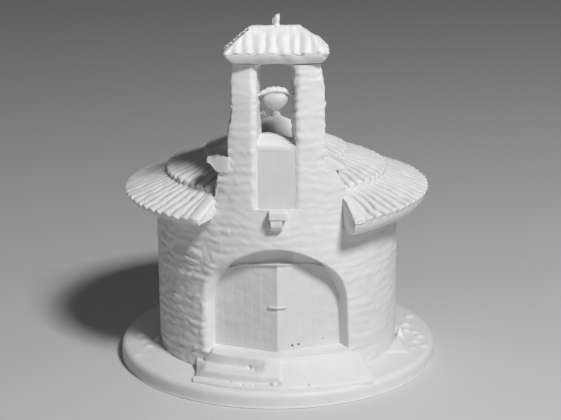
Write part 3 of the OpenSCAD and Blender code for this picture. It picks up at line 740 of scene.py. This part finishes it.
# Outlines of the piers' outer sides from the foot upwards: height and x in millimetres.
PIER_LEFT = ((40.0, -8.5), (46.6, -8.5), (48.7, -8.2), (50.0, -7.85), (52.5, -7.6), (55.0, -7.75),
             (pier_head, -7.57))
PIER_RIGHT = ((40.0, 8.6), (53.4, 8.6), (55.8, 8.45), (57.6, 8.05), (pier_head, 7.8))
# Loose bits of plastic on the inner side of the left pier: x, y, z and radius along each bit.
PIER_BITS = (((-3.4, -17.6, 50.4, 0.3), (-2.6, -17.6, 50.6, 0.3), (-2.0, -17.5, 50.9, 0.45),
              (-1.6, -17.5, 51.0, 0.2)),
             ((-2.2, -17.5, 50.6, 0.2), (-1.8, -17.4, 50.2, 0.35), (-1.6, -17.4, 49.9, 0.15)))
BIT_LUMPS = 0.35
BIT_SEED = 45


def strand(bit, seed):
    """A lumpy round thread through some points with a radius at each, closed at both ends."""
    bit = np.array(bit)
    share = np.linspace(0, len(bit) - 1, 5 * len(bit))
    line = np.stack([np.interp(share, np.arange(len(bit)), bit[:, k]) for k in range(4)], axis=-1)
    run = np.gradient(line[:, :3], axis=0)
    run /= np.linalg.norm(run, axis=1, keepdims=True)
    across = np.cross(run, (0.0, 1.0, 0.0))
    across /= np.maximum(np.linalg.norm(across, axis=1, keepdims=True), 1e-6)
    aside = np.cross(run, across)
    angle = whole_turn(12)[:, None]
    around = across[:, None] * np.cos(angle) + aside[:, None] * np.sin(angle)
    thick = line[:, None, 3:]
    rings = line[:, None, :3] + thick * around
    return stacked(rings + BIT_LUMPS * thick * lumps(rings, 0.5, seed)[..., None])


def joined(*solids):
    """Several closed solids as the points and faces of one mesh."""
    points, faces = np.zeros((0, 3)), []
    for more, more_faces in solids:
        faces += [[corner + len(points) for corner in face] for face in more_faces]
        points = np.concatenate([points, more])
    return points, faces


levels = np.append(np.arange(gable_top - 0.2, pier_head, PIER_ROW), pier_head)
window_top = np.clip((levels - (pier_head - WINDOW_ROUND)) / WINDOW_ROUND, 0, 1)
window_corner = WINDOW_ROUND * (1 - np.sqrt(1 - window_top ** 2))
for hand, node, name in ((LEFT, "left_pier", "left_belfry_pier"), (RIGHT, "right_pier", "right_belfry_pier")):
    courses = []
    for z, inward in zip(levels, window_corner):
        edge = splay(hand, z, PIER_SPLAY_COLUMNS, inward)
        if hand == LEFT:
            line = on_curve(np.linspace(traced(z, PIER_LEFT), splay_edge(hand, z), PIER_COLUMNS))
            front = np.concatenate([line, edge[1:]])
        else:
            line = on_curve(np.linspace(splay_edge(hand, z), traced(z, PIER_RIGHT), PIER_COLUMNS))
            front = np.concatenate([edge[::-1][:-1], line])
        courses.append(wall_course(front, z))
    rings, runs, shares = (np.array(part) for part in zip(*courses))
    inside = ease(rings[..., 1], *PIER_INSIDE_Y) * (np.abs(rings[..., 0]) < PIER_INSIDE_X)
    rings[..., 0] += PIER_NARROW[hand] * inside
    if hand == LEFT:
        rings[..., 1] += HEAD_SET_BACK * ease(rings[..., 2], *HEAD_Z) * (rings[..., 1] < -18.0)
    solids = [stacked(dressed(rings, runs, PIER_STONES[hand] * shares))]
    if hand == LEFT:
        solids += [strand(bit, BIT_SEED) for bit in PIER_BITS]
    stand_for(printed_piece(name, *joined(*solids), wall_plastic, 75), node)

# The bell: a round cup with its clapper under an arched yoke across the window, over a low mound on the sill.
# The mound falls to the right, and each printed layer shows on it as a faint terrace.
# The bell's white is painted greyer than the rest: painted shade for the even shade the bell hangs in.
SILL_FRONT = -21.75
SILL_CREST = 0.3
SILL_FORWARD = 0.3
SILL_ROUND = 3.4
TERRACE = 0.25
TERRACE_SHARE = 0.45
sill_back = node_box("bell_sill")[1][1]


def lidded(upper, under):
    """Points and faces of a solid between an upper and a lower grid of points, closed round their edges."""
    rows, columns = upper.shape[:2]
    count = rows * columns
    edge = list(range(columns)) + [r * columns + columns - 1 for r in range(1, rows)]
    edge += [(rows - 1) * columns + c for c in range(columns - 2, -1, -1)]
    edge += [r * columns for r in range(rows - 2, 0, -1)]
    skirt = [[a, b, count + b, count + a] for a, b in zip(edge, edge[1:] + edge[:1])]
    lid = net(rows, columns, False)
    points = np.concatenate([upper.reshape(-1, 3), under.reshape(-1, 3)])
    return points, lid + (np.array(lid) + count).tolist() + skirt


sill_x = np.linspace(SLOT[LEFT] - 0.1, SLOT[RIGHT] + 0.1, 70)
grid_x, grid_y = np.meshgrid(sill_x, np.linspace(SILL_FRONT, sill_back, 74))
rightward = SILL_FORWARD * (grid_x - SLOT[LEFT]) / (SLOT[RIGHT] - SLOT[LEFT])
forward = rightward * (grid_y - sill_back) / (sill_back - SILL_FRONT)
back = np.sqrt(np.clip((grid_y - SILL_FRONT) / SILL_ROUND, 0, 1))
back = back * (1 - 0.25 * ease(grid_y, -18.5, sill_back))
fall = (SILL_CREST + SILL_FALL) * back * (1 - 0.8 * ease(grid_x, -1.2, 3.3))
mound = fall * (0.93 + 0.07 * ease(grid_x, -3.4, -1.2))
flat_spot = packed(grid_x, grid_y, 0.0)
step = mound / TERRACE + 0.3 * lumps(flat_spot, 1.6, 51)
terraces = TERRACE_SHARE * TERRACE * (np.floor(step) + ease(step % 1, 0.0, 0.8))
mound = (1 - TERRACE_SHARE) * mound + terraces
top = pier_foot - SILL_FALL + np.maximum(mound, 0)
upper = packed(grid_x, grid_y + forward, top)
under = packed(grid_x, grid_y + forward + 0.03, gable_top - 0.6)
stand_for(printed_piece("bell_sill_mound", *lidded(upper, under), trim_plastic, 60), "bell_sill")

# The cup's outline from its lip to its crown: height and radius in millimetres.
BELL_OUTLINE = ((51.35, 0.6), (51.6, 1.05), (52.0, 1.5), (52.5, 1.88), (53.0, 2.08), (53.4, 2.12),
                (53.8, 2.0), (54.4, 1.5))
CLAPPER_R = (0.25, 0.45, 0.5, 0.42, 0.4)
BELL_FLAT = 0.6
BELL_COLUMNS = 72
BELL_LUMPS = ((0.05, 1.3, 53),)
bell_mid = sum(node_box("bell_cup")) / 2
clapper_low, clapper_high = node_box("bell_clapper")
cup_z = np.linspace(BELL_OUTLINE[0][0], BELL_OUTLINE[-1][0], 36)
clapper_z = np.linspace(clapper_low[2] - 0.1, clapper_high[2] - 0.05, len(CLAPPER_R))
bell_r = np.concatenate([CLAPPER_R, traced(cup_z, BELL_OUTLINE)])
rings = turned(bell_r, np.concatenate([clapper_z, cup_z]), whole_turn(BELL_COLUMNS))
rings[..., :2] *= 1 + rough(rings, BELL_LUMPS)[..., None]
rings[..., 1] *= BELL_FLAT
rings[..., :2] += bell_mid[:2]
# Painted shade: the bell's darker white stands in for the shade it hangs in.
bell_shade_plastic = print_plastic("bell_shade_plastic", 0.66, 0.62, (0.6, 0.5), 0.006)
stand_for(printed_piece("bell", *stacked(rings), bell_shade_plastic, 70), "bell_cup", "bell_clapper")

YOKE_REACH = 3.5
YOKE_HALF = 2.8
YOKE_TOP = (54.3, 1.1)
YOKE_UNDER = (53.8, 0.5)
YOKE_DEEP = (0.45, 0.4)
YOKE_BEADS = 0.95
YOKE_BEAD_HEIGHT = 0.12
YOKE_COLUMNS = 24
yoke_x = np.linspace(-YOKE_REACH, YOKE_REACH, 90)
bow = np.clip(1 - (yoke_x / YOKE_HALF) ** 2, 0, 1)
beads = YOKE_BEAD_HEIGHT * np.abs(np.sin(yoke_x * math.pi / YOKE_BEADS)) * (bow > 0)
yoke_top = YOKE_TOP[0] + YOKE_TOP[1] * bow ** 0.8 + beads
yoke_under = YOKE_UNDER[0] + YOKE_UNDER[1] * bow
yoke_deep = YOKE_DEEP[0] + YOKE_DEEP[1] * np.sqrt(bow)
yoke_turn = whole_turn(YOKE_COLUMNS)
yoke_z = (yoke_top + yoke_under)[:, None] / 2 + (yoke_top - yoke_under)[:, None] / 2 * np.sin(yoke_turn)
yoke_y = bell_mid[1] + yoke_deep[:, None] * np.cos(yoke_turn)
rings = packed(yoke_x[:, None] + bell_mid[0], yoke_y, yoke_z)
rings[..., 1:] += sway(rings, 0.07, 0.8, 54)
stand_for(printed_piece("yoke", *stacked(rings), trim_plastic, 70), "bell_yoke")

# The cap: a small hipped tile roof on a flared stone head, over the two piers, with a finial's stump.
# Its tiles run down all slopes as round ribs, its right end came out thick, fuzz clings to its left slope.
HEAD_FRONT = -22.2
HEAD_LEFT_IN = 0.4
FLARE_LEVELS = 16
FLARE_FULL = 0.85
FLARE_COLUMNS = (80, 36)
FLARE_ROUNDS = 7
soffit_low, soffit_high = node_box("cap_soffit")
head_low = np.array((PIER_LEFT[-1][1] + HEAD_LEFT_IN, HEAD_FRONT))
head_high = np.array((PIER_RIGHT[-1][1], gable_back))
flare = []
for t in np.linspace(0, 1, FLARE_LEVELS):
    grow = math.sin(math.pi / 2 * min(t / FLARE_FULL, 1))
    z = soffit_low[2] + 0.3 + t * (soffit_high[2] - soffit_low[2])
    low = head_low + grow * (soffit_low[:2] + 0.1 - head_low)
    high = head_high + grow * (soffit_high[:2] - 0.1 - head_high)
    long_x = np.linspace(low[0], high[0], FLARE_COLUMNS[0])
    long_y = np.linspace(low[1], high[1], FLARE_COLUMNS[1])[1:-1]
    front, side = np.ones_like(long_x), np.ones_like(long_y)
    ring_x = np.concatenate([long_x, high[0] * side, long_x[::-1], low[0] * side])
    ring_y = np.concatenate([low[1] * front, long_y, high[1] * front, long_y[::-1]])
    flare.append(packed(ring_x, ring_y, z))
flare = smoothed(np.array(flare), FLARE_ROUNDS)
flare[..., :2] += sway(flare, 0.16, 1.5, 61)
flare[0, :, 2] += 0.2 * lumps(flare[0], 2.5, 60)
stand_for(printed_piece("cap_head", *stacked(flare), trim_plastic, 70), "cap_soffit")

CAP_STEP = 0.13
CAP_RIBS = 9.0
CAP_END_RIBS = 4.0
CAP_RIB_HEIGHT = 0.38
CAP_SCALLOP = 0.25
CAP_SKEW = 0.2
CAP_EDGE = 0.1
CAP_UNDER = 0.35
RIDGE = (-4.1, 4.3)
RIDGE_HALF = 0.5
RIGHT_LUMP_X = (4.6, 8.0)
# Fuzz of fine plastic along the left slope: its lines, steps along it, rise off it and radius in millimetres.
FUZZ_Y = (-20.4, -19.3)
FUZZ_STEPS = 26
FUZZ_RISE = (0.1, 0.55)
FUZZ_R = 0.075
FUZZ_SEED = 64
roof_low, roof_high = node_box("cap_roof")
cap_size = roof_high - roof_low
cap_mid_y = (roof_low[1] + roof_high[1]) / 2
cap_edge_z = roof_low[2] + CAP_EDGE
cap_rise = roof_high[2] - cap_edge_z
grid_x, grid_y = np.meshgrid(np.linspace(roof_low[0], roof_high[0], int(cap_size[0] / CAP_STEP)),
                             np.linspace(roof_low[1], roof_high[1], int(cap_size[1] / CAP_STEP)))
flat_spot = packed(grid_x, grid_y, 0.0)
long_share = (np.abs(grid_y - cap_mid_y) - RIDGE_HALF) / (cap_size[1] / 2 - RIDGE_HALF)
left_share = (RIDGE[0] - grid_x) / (RIDGE[0] - roof_low[0])
right_share = (grid_x - RIDGE[1]) / (roof_high[0] - RIDGE[1])
end_share = np.maximum(left_share, right_share)
share = np.clip(np.maximum(long_share, end_share), 0, 1)
hip = np.abs(long_share - end_share)
waver = 0.5 * lumps(flat_spot, 2.4, 63)
long_crest = np.abs(np.cos(math.pi * (grid_x - roof_low[0]) / cap_size[0] * CAP_RIBS + waver))
end_crest = np.abs(np.cos(math.pi * (grid_y - roof_low[1]) / cap_size[1] * CAP_END_RIBS + waver))
crest = np.where(long_share > end_share, long_crest, end_crest)
rib = crest * (0.5 + 0.5 * crest) - 0.57
right_lump = ease(grid_x, *RIGHT_LUMP_X) * (0.5 + 0.45 * lumps(flat_spot, 1.3, 64))
right_lump = right_lump * np.sin(math.pi * np.clip(share, 0, 0.92))
cap_z = cap_edge_z + cap_rise * (1 - share)
cap_z += CAP_RIB_HEIGHT * rib * ease(share, 0.1, 0.5) * ease(hip, 0.0, 0.2)
uneven = 0.16 * lumps(flat_spot, 1.8, 65) * ease(share, 0.0, 0.3) + 0.06 * lumps(flat_spot, 0.6, 66)
cap_z += uneven + right_lump
edge_x = np.where(end_share >= long_share, 0.5 * np.sign(grid_x), 0) * CAP_SCALLOP
edge_y = np.where(long_share > end_share, np.sign(grid_y - cap_mid_y), 0) * CAP_SCALLOP
push = np.clip(rib, 0, None) * ease(share, 0.8, 1.0)
skew = CAP_SKEW * np.clip(left_share, 0, 1) * (grid_y - roof_low[1]) / cap_size[1]
upper = packed(grid_x + edge_x * push + skew, grid_y + edge_y * push, cap_z)
low_z = roof_low[2] - CAP_UNDER + 0.15 * lumps(flat_spot, 1.2, 67)
under = packed(grid_x * 0.975 + skew, cap_mid_y + (grid_y - cap_mid_y) * 0.94, low_z)
solids = [lidded(upper, under)]
dice = np.random.default_rng(FUZZ_SEED)
for y in FUZZ_Y:
    along = np.linspace(0.06, 0.97, FUZZ_STEPS)
    bit_x = RIDGE[0] - along * (RIDGE[0] - roof_low[0]) + dice.uniform(-0.15, 0.15, FUZZ_STEPS)
    bit_y = y + dice.uniform(-0.4, 0.4, FUZZ_STEPS)
    bit_z = roof_high[2] - along * cap_rise + dice.uniform(*FUZZ_RISE, FUZZ_STEPS) * np.sqrt(along)
    bit_r = FUZZ_R * dice.uniform(0.6, 1.5, FUZZ_STEPS)
    solids.append(strand(packed(bit_x, bit_y, bit_z, bit_r), FUZZ_SEED))
tile_plastic = print_plastic("tile_plastic", 0.81, 0.775, (0.58, 0.46), 0.006)
stand_for(printed_piece("cap_tiles", *joined(*solids), tile_plastic, 70), "cap_roof")

FINIAL_LEAN = 0.15
FINIAL_MORE = 0.1
FINIAL_SUNK = 0.3
FINIAL_LEVELS = 24
FINIAL_COLUMNS = 28
# The string beside the finial: x, y, z and radius along it.
FINIAL_STRING = ((-0.3, -19.2, 66.2, 0.15), (-0.4, -19.2, 66.8, 0.1), (-0.3, -19.2, 67.2, 0.17),
                 (-0.1, -19.2, 67.5, 0.12))
FINIAL_STRING_SEED = 70
finial_low, finial_high = node_box("cap_finial")
finial_mid = (finial_low + finial_high) / 2
finial_up = np.linspace(0, 1, FINIAL_LEVELS)
finial_r = 0.52 - 0.04 * finial_up + 0.25 * (1 - ease(finial_up, 0.0, 0.25))
finial_foot = finial_low[2] - FINIAL_SUNK
finial_z = finial_foot + finial_up * (finial_high[2] + FINIAL_MORE - finial_foot)
rings = turned(finial_r, finial_z, whole_turn(FINIAL_COLUMNS))
rings[..., 0] += finial_mid[0] + FINIAL_LEAN * finial_up[:, None]
rings[..., 1] += finial_mid[1]
slant = finial_mid[0] + FINIAL_LEAN + 0.4 - rings[..., 0]
rings[..., 2] -= 0.3 * np.clip(slant, 0, None) * ease(finial_up, 0.6, 1.0)[:, None]
rings[..., :2] += sway(rings, 0.1, 0.6, 68)
solids = joined(stacked(rings), strand(FINIAL_STRING, FINIAL_STRING_SEED))
stand_for(printed_piece("finial", *solids, trim_plastic, 60), "cap_finial")

# The tile roof: three conical tiers of white print, each lapping over the one below with a stepped edge.
# Barrel tiles run down them as wavering ribs, which fade at each tier's top and end in scallops.
TILE_PITCH = 2.15
TILE_WAVER = 2.2
ROOF_COLUMNS = 16
LOW_COLUMNS = 76
ROOF_CREASE = 75
# The painted shade's colour, mixed into the tiles' white in the rib valleys.
VALLEY_PAINTED_SHADE = (0.42, 0.42, 0.415, 1)
EAVE_BELLY = 3.0
EAVE_DROOP = 0.4
LEFT_FASCIA_DROP = 0.15
LOW_SLOPE = math.tan(math.radians(20.5))
MID_SLOPE = math.tan(math.radians(20))
TOP_SLOPE = math.tan(math.radians(25.5))
TOP_INNER = 0.6

# The tiles' plastic is the same print, with painted shade that darkens the valleys between the ribs.
valley_shade_plastic = print_plastic("valley_shade_plastic", 0.81, 0.775, (0.58, 0.46), 0.006)
roof_tree = valley_shade_plastic.node_tree
roof_colour = roof_tree.nodes["Principled BSDF"].inputs["Base Color"]
valley_shade_mark = tree_node(roof_tree, "ShaderNodeAttribute", attribute_name="tile_valley")
valley_shade_mix = tree_node(roof_tree, "ShaderNodeMix", data_type="RGBA")
roof_tree.links.new(valley_shade_mark.outputs["Fac"], valley_shade_mix.inputs["Factor"])
roof_tree.links.new(roof_colour.links[0].from_socket, valley_shade_mix.inputs[6])
valley_shade_mix.inputs[7].default_value = VALLEY_PAINTED_SHADE
roof_tree.links.new(valley_shade_mix.outputs[2], roof_colour)

# The ribs: each point of a tier moves up and out by where it lies on its rib, and keeps how deep it lies in a
# valley for the painted valley shade.
tiers = bpy.data.node_groups.new("tile_ribs", "GeometryNodeTree")
tiers.interface.new_socket("Geometry", in_out="INPUT", socket_type="NodeSocketGeometry")
for name in ("Ribs", "Rib height", "Scallop", "Waver", "Seed"):
    tiers.interface.new_socket(name, in_out="INPUT", socket_type="NodeSocketFloat")
tiers.interface.new_socket("Plastic", in_out="INPUT", socket_type="NodeSocketMaterial")
tiers.interface.new_socket("Geometry", in_out="OUTPUT", socket_type="NodeSocketGeometry")
given = tree_node(tiers, "NodeGroupInput")
here = tree_node(tiers, "GeometryNodeInputPosition")


def seeded_noise(scale, detail):
    """A noise over the tier's points that changes with the tree's seed."""
    noise = tree_node(tiers, "ShaderNodeTexNoise", noise_dimensions="4D")
    tiers.links.new(here.outputs[0], noise.inputs["Vector"])
    tiers.links.new(given.outputs["Seed"], noise.inputs["W"])
    noise.inputs["Scale"].default_value = scale
    noise.inputs["Detail"].default_value = detail
    return noise.outputs["Fac"]


part = tree_node(tiers, "ShaderNodeSeparateXYZ", here.outputs[0])
toward = calc(tiers, "MULTIPLY", part.outputs["Y"], -1.0)
angle = calc(tiers, "ARCTAN2", part.outputs["X"], toward)
half_ribs = calc(tiers, "MULTIPLY", given.outputs["Ribs"], 0.5)
centred = calc(tiers, "SUBTRACT", seeded_noise(420.0, 1.0), 0.5)
wander = calc(tiers, "MULTIPLY", centred, given.outputs["Waver"])
phase = calc(tiers, "MULTIPLY_ADD", angle, half_ribs, wander)
crest = calc(tiers, "ABSOLUTE", calc(tiers, "COSINE", phase))
hollow = calc(tiers, "SUBTRACT", 1.0, crest)
valley = calc(tiers, "MULTIPLY_ADD", calc(tiers, "POWER", hollow, 3.0), -0.6, -0.65)
on_rib = calc(tiers, "ADD", calc(tiers, "POWER", crest, 0.6), valley)
weight = tree_node(tiers, "GeometryNodeInputNamedAttribute", "rib_weight", data_type="FLOAT").outputs[0]
eave_weight = tree_node(tiers, "GeometryNodeInputNamedAttribute", "eave_weight", data_type="FLOAT").outputs[0]
strength = calc(tiers, "MULTIPLY_ADD", seeded_noise(760.0, 2.0), 1.6, 0.2)
tall = calc(tiers, "MULTIPLY", given.outputs["Rib height"], strength)
lift = calc(tiers, "MULTIPLY", calc(tiers, "MULTIPLY", on_rib, tall), weight)
reach = calc(tiers, "MULTIPLY", calc(tiers, "MULTIPLY", on_rib, given.outputs["Scallop"]), eave_weight)
level_place = tree_node(tiers, "ShaderNodeCombineXYZ", part.outputs["X"], part.outputs["Y"], 0.0)
radial = tree_node(tiers, "ShaderNodeVectorMath", level_place.outputs[0], operation="NORMALIZE")
outward = tree_node(tiers, "ShaderNodeVectorMath", radial.outputs[0], operation="SCALE")
tiers.links.new(reach, outward.inputs["Scale"])
upward = tree_node(tiers, "ShaderNodeCombineXYZ", 0.0, 0.0, lift)
shift = tree_node(tiers, "ShaderNodeVectorMath", outward.outputs[0], upward.outputs[0], operation="ADD")
# How deep a point lies in its rib's valley, stored for the painted valley shade.
line = calc(tiers, "MULTIPLY", calc(tiers, "POWER", hollow, 2.0), weight)
valley_shade_marked = tree_node(tiers, "GeometryNodeStoreNamedAttribute", given.outputs["Geometry"], None, "tile_valley",
                   line, data_type="FLOAT", domain="POINT")
ribbed = tree_node(tiers, "GeometryNodeSetPosition", valley_shade_marked.outputs[0], None, None, shift.outputs[0])
whole = tree_node(tiers, "GeometryNodeRealizeInstances", ribbed.outputs[0])
painted = tree_node(tiers, "GeometryNodeSetMaterial", whole.outputs[0], None, given.outputs["Plastic"])
tree_node(tiers, "NodeGroupOutput", painted.outputs[0])


def sag(points):
    """The right front corner of the eave hangs lower with a round belly under it, and its cut swings away."""
    far = np.hypot(points[..., 0], points[..., 1])
    turn = np.arctan2(points[..., 0], -points[..., 1])
    turned_by = np.degrees(turn)
    underneath = points[..., 2] < eave_low + 0.35
    drop = EAVE_DROOP * ease(far, 22.5, 28.0) * np.exp(-((turned_by - 32) / 11) ** 2)
    drop += LEFT_FASCIA_DROP * ease(far, 23.0, 26.0) * underneath * np.exp(-((turned_by + 40) / 14) ** 2)
    belly = np.sqrt(np.clip(1 - ((np.minimum(far, eave_r - 0.35) - 23.0) / 4.9) ** 2, 0, 1)) * underneath
    drop += EAVE_BELLY * belly * ease(turned_by, 20, 30) * (1 - ease(turned_by, 60, 110))
    at_gable = (1 - ease(turned_by, 29, 50)) * (turned_by > 0)
    turn = turn + CUT_SWING * np.clip((eave_r - far) / 5.6, 0, 1) * at_gable
    return packed(far * np.sin(turn), -far * np.cos(turn), points[..., 2] - drop)


def tier_profile(inner, outer, edge_z, slope, count, fade, edge):
    """Points down a tier's slope and round its edge: radius, height, rib and eave shares."""
    inner_z = edge_z + (outer - inner) * slope
    rows = []
    for down in np.linspace(0, 1, count):
        rows.append((inner + down * (outer - inner), inner_z + down * (edge_z - inner_z),
                     0.15 + 0.85 * ease(down, fade, fade + 0.5), float(ease(down, 0.9, 1.0))))
    return np.array(rows + edge)


def tile_tier(name, rows, ribs, turns, closed, seed, rib_height, scallop, shape):
    """One tier of the roof as a turned solid, ribbed by the geometry nodes and kept as a plain mesh."""
    points = turned(rows[:, 0], rows[:, 1], turns)
    points[..., 2] += 0.1 * lumps(points, 2.4, seed)
    points = shape(points)
    count, columns = points.shape[:2]
    loop = np.transpose(points, (1, 0, 2)).reshape(-1, 3)
    faces = net(columns, count, True)
    last = (columns - 1) * count
    if closed:
        faces += [[last + r, last + (r + 1) % count, (r + 1) % count, r] for r in range(count)]
    else:
        faces += [list(range(count)), list(range(last, last + count))]
    tier = printed_piece(name, loop, faces, valley_shade_plastic, ROOF_CREASE)
    weights = {"rib_weight": rows[:, 2], "eave_weight": rows[:, 3]}
    for label, shares in weights.items():
        attribute = tier.data.attributes.new(label, "FLOAT", "POINT")
        attribute.data.foreach_set("value", np.tile(shares, columns).astype(np.float32))
    ribbing = tier.modifiers.new("ribbing", "NODES")
    ribbing.node_group = tiers
    settings = {"Ribs": float(ribs), "Rib height": rib_height * MM, "Scallop": scallop * MM,
                "Waver": TILE_WAVER, "Seed": float(seed), "Plastic": valley_shade_plastic}
    for item in tiers.interface.items_tree:
        if item.in_out == "INPUT" and item.name in settings:
            ribbing[item.identifier] = settings[item.name]
    done = bpy.data.meshes.new_from_object(tier.evaluated_get(bpy.context.evaluated_depsgraph_get()))
    tier.modifiers.remove(ribbing)
    unribbed = tier.data
    tier.data = done
    bpy.data.meshes.remove(unribbed)
    done.name = name
    for label in weights:
        done.attributes.remove(done.attributes[label])
    done.set_sharp_from_angle(angle=math.radians(ROOF_CREASE))
    return tier


low_low, low_high = node_box("lower_roof")
mid_low, mid_high = node_box("middle_roof")
top_low, top_high = node_box("top_roof")
eave_r, mid_r, top_r = low_high[0], mid_high[0], top_high[0]
eave_low, mid_z, top_z = low_low[2], mid_low[2], top_low[2]
eave_top, mid_top, top_top = eave_low + 1.0, mid_z + 0.8, top_z + 0.6


def ribs_round(radius):
    """How many tiles fit round the edge of a tier."""
    return round(2 * math.pi * radius / TILE_PITCH)


# Each tier's edge, from the slope's end round to its underside: radius, height, rib and eave shares.
low_edge = [(eave_r + 0.06, eave_top - 0.06, 0.85, 1.0), (eave_r + 0.08, eave_top - 0.18, 0.6, 1.0),
            (eave_r + 0.02, eave_top - 0.32, 0.3, 0.8), (eave_r - 0.12, eave_top - 0.5, 0.1, 0.4),
            (eave_r - 0.2, eave_top - 0.7, 0.0, 0.15), (eave_r - 0.28, eave_low + 0.12, 0.0, 0.05),
            (eave_r - 0.45, eave_low, 0.0, 0.0)]
low_edge += [(far, eave_low + 0.1, 0.0, 0.0) for far in np.linspace(eave_r - 0.8, wall_r + 0.6, 8)]
low_edge += [(wall_r - 1.5, WALL_TOP, 0.0, 0.0)]
low_rows = tier_profile(mid_r - 1.6, eave_r, eave_top, LOW_SLOPE, 24, 0.1, low_edge)
low_turns = np.linspace(EAVE_CUT, 2 * math.pi - EAVE_CUT, LOW_COLUMNS * ROOF_COLUMNS)
lower_tiles = tile_tier("lower_tiles", low_rows, ribs_round(eave_r), low_turns, False, 71, 0.66, 0.3, sag)
stand_for(lower_tiles, "lower_roof")

mid_edge = [(mid_r + 0.06, mid_top - 0.15, 0.5, 1.0), (mid_r + 0.12, mid_top - 0.4, 0.25, 0.9),
            (mid_r + 0.16, mid_z, 0.1, 0.7), (mid_r + 0.05, mid_z - 0.6, 0.0, 0.3),
            (mid_r - 3.0, mid_z - 0.3, 0.0, 0.0)]
mid_rows = tier_profile(top_r - 1.4, mid_r, mid_top, MID_SLOPE, 24, 0.1, mid_edge)
mid_ribs = ribs_round(mid_r)
mid_turns = whole_turn(mid_ribs * ROOF_COLUMNS)
middle_tiles = tile_tier("middle_tiles", mid_rows, mid_ribs, mid_turns, True, 72, 0.64, 0.28, np.asarray)
stand_for(middle_tiles, "middle_roof")

top_edge = [(top_r + 0.06, top_top - 0.15, 0.6, 1.0), (top_r + 0.12, top_top - 0.35, 0.4, 0.9),
            (top_r + 0.15, top_z, 0.1, 0.7), (top_r + 0.05, top_z - 0.5, 0.0, 0.3),
            (top_r - 3.0, top_z - 0.2, 0.0, 0.0)]
top_rows = tier_profile(TOP_INNER, top_r, top_top, TOP_SLOPE, 40, 0.35, top_edge)
top_ribs = ribs_round(top_r)
top_turns = whole_turn(top_ribs * ROOF_COLUMNS)
top_tiles = tile_tier("top_tiles", top_rows, top_ribs, top_turns, True, 73, 0.56, 0.22, np.asarray)
stand_for(top_tiles, "top_roof")

# The roof's small pieces: a smooth verge tile down each cut beside the gable, and a knob on the tip.
# They are drawn in the same white print; the right verge hangs with the drooped corner of the eave.
VERGE_WIDTH = 2.4
VERGE_HEIGHT = 0.45
VERGE_TOP = 20.6
VERGE_ROWS = 46
VERGE_UNDER = -0.55
# The rounded end of a verge tile: how far past the eave each ring lies and its share of the full section.
VERGE_END = ((-0.1, 0.96), (0.0, 0.85), (0.06, 0.65), (0.1, 0.35))
VERGES = (("left_verge", "left_verge_tile", -1, 0.04), ("right_verge", "right_verge_tile", 1, 0.2))
verge_past, verge_ends = np.array(VERGE_END).T
verge_far = np.concatenate([np.linspace(VERGE_TOP, eave_r - 0.2, VERGE_ROWS), eave_r + verge_past])
verge_full = np.concatenate([np.ones(VERGE_ROWS), verge_ends])
verge_arc = np.linspace(0, math.pi, 24)
across = VERGE_WIDTH * (0.44 - 0.5 * np.outer(verge_full, np.cos(verge_arc)))
across = np.column_stack([across, across[:, -1], across[:, 0]])
bulge = VERGE_HEIGHT * np.outer(verge_full, np.sin(verge_arc)) - 0.1
bulge = np.column_stack([bulge, np.full((len(verge_far), 2), VERGE_UNDER)])
far = verge_far[:, None]
for node, name, side, bumpy in VERGES:
    turn = side * (EAVE_CUT + across / far)
    verge_z = eave_top + (eave_r - far) * LOW_SLOPE + bulge
    points = packed(far * np.sin(turn), -far * np.cos(turn), verge_z)
    points[..., 2] += rough(points, ((bumpy, 1.5, 75), (0.02, 0.6, 76))) * (bulge > -0.5)
    stand_for(printed_piece(name, *stacked(sag(points)), tile_plastic, 70), node)

KNOB_SUNK = 0.4
KNOB_LUMPS = ((0.06, 0.7, 77),)
knob_low, knob_high = node_box("roof_knob")
knob_up = np.linspace(0, 1, 18)
knob_r = knob_high[0] * np.sqrt(np.clip(1 - (1.05 * knob_up - 0.15) ** 2, 0.05, 1))
knob_z = knob_low[2] - KNOB_SUNK + knob_up * (knob_high[2] + KNOB_SUNK - knob_low[2])
rings = turned(knob_r, knob_z, whole_turn(40))
rings[..., :2] *= 1 + rough(rings, KNOB_LUMPS)[..., None]
stand_for(printed_piece("knob", *stacked(rings), tile_plastic, 70), "roof_knob")

# The stage: a pale floor, a dim even sky and one soft lamp, high before the door and a little to the right.
FLOOR_HALF = 1.5
FLOOR_GREY = (0.67, 0.67, 0.67, 1)
FLOOR_ROUGHNESS = 0.8
LAMP_PLACE = Vector((0.1645, -0.291, 0.365))
LAMP_AIM = Vector((0, 0, 0.03))
LAMP_SIZE = 0.08
LAMP_POWER = 1.85
SKY_STRENGTH = 0.07
floor_mesh = bpy.data.meshes.new("floor")
floor_corners = [(-1, -1), (1, -1), (1, 1), (-1, 1)]
floor_mesh.from_pydata([(FLOOR_HALF * x, FLOOR_HALF * y, 0) for x, y in floor_corners], [], [(0, 1, 2, 3)])
floor = bpy.data.objects.new("floor", floor_mesh)
scene.collection.objects.link(floor)
floor_paint = bpy.data.materials.new("floor_paint")
floor_paint.use_nodes = True
floor_shader = floor_paint.node_tree.nodes["Principled BSDF"]
floor_shader.inputs["Base Color"].default_value = FLOOR_GREY
floor_shader.inputs["Roughness"].default_value = FLOOR_ROUGHNESS
floor_mesh.materials.append(floor_paint)

key_light = bpy.data.lights.new("key_lamp", "AREA")
key_light.energy = LAMP_POWER
key_light.size = LAMP_SIZE
key_lamp = bpy.data.objects.new("key_lamp", key_light)
lamp_turn = (LAMP_AIM - LAMP_PLACE).to_track_quat("-Z", "Y").to_matrix().to_4x4()
key_lamp.matrix_world = Matrix.Translation(LAMP_PLACE) @ lamp_turn
scene.collection.objects.link(key_lamp)
world = bpy.data.worlds.new("studio")
world.use_nodes = True
sky = world.node_tree.nodes["Background"]
sky.inputs["Color"].default_value = (1, 1, 1, 1)
sky.inputs["Strength"].default_value = SKY_STRENGTH
scene.world = world

scene.view_settings.view_transform = "Standard"
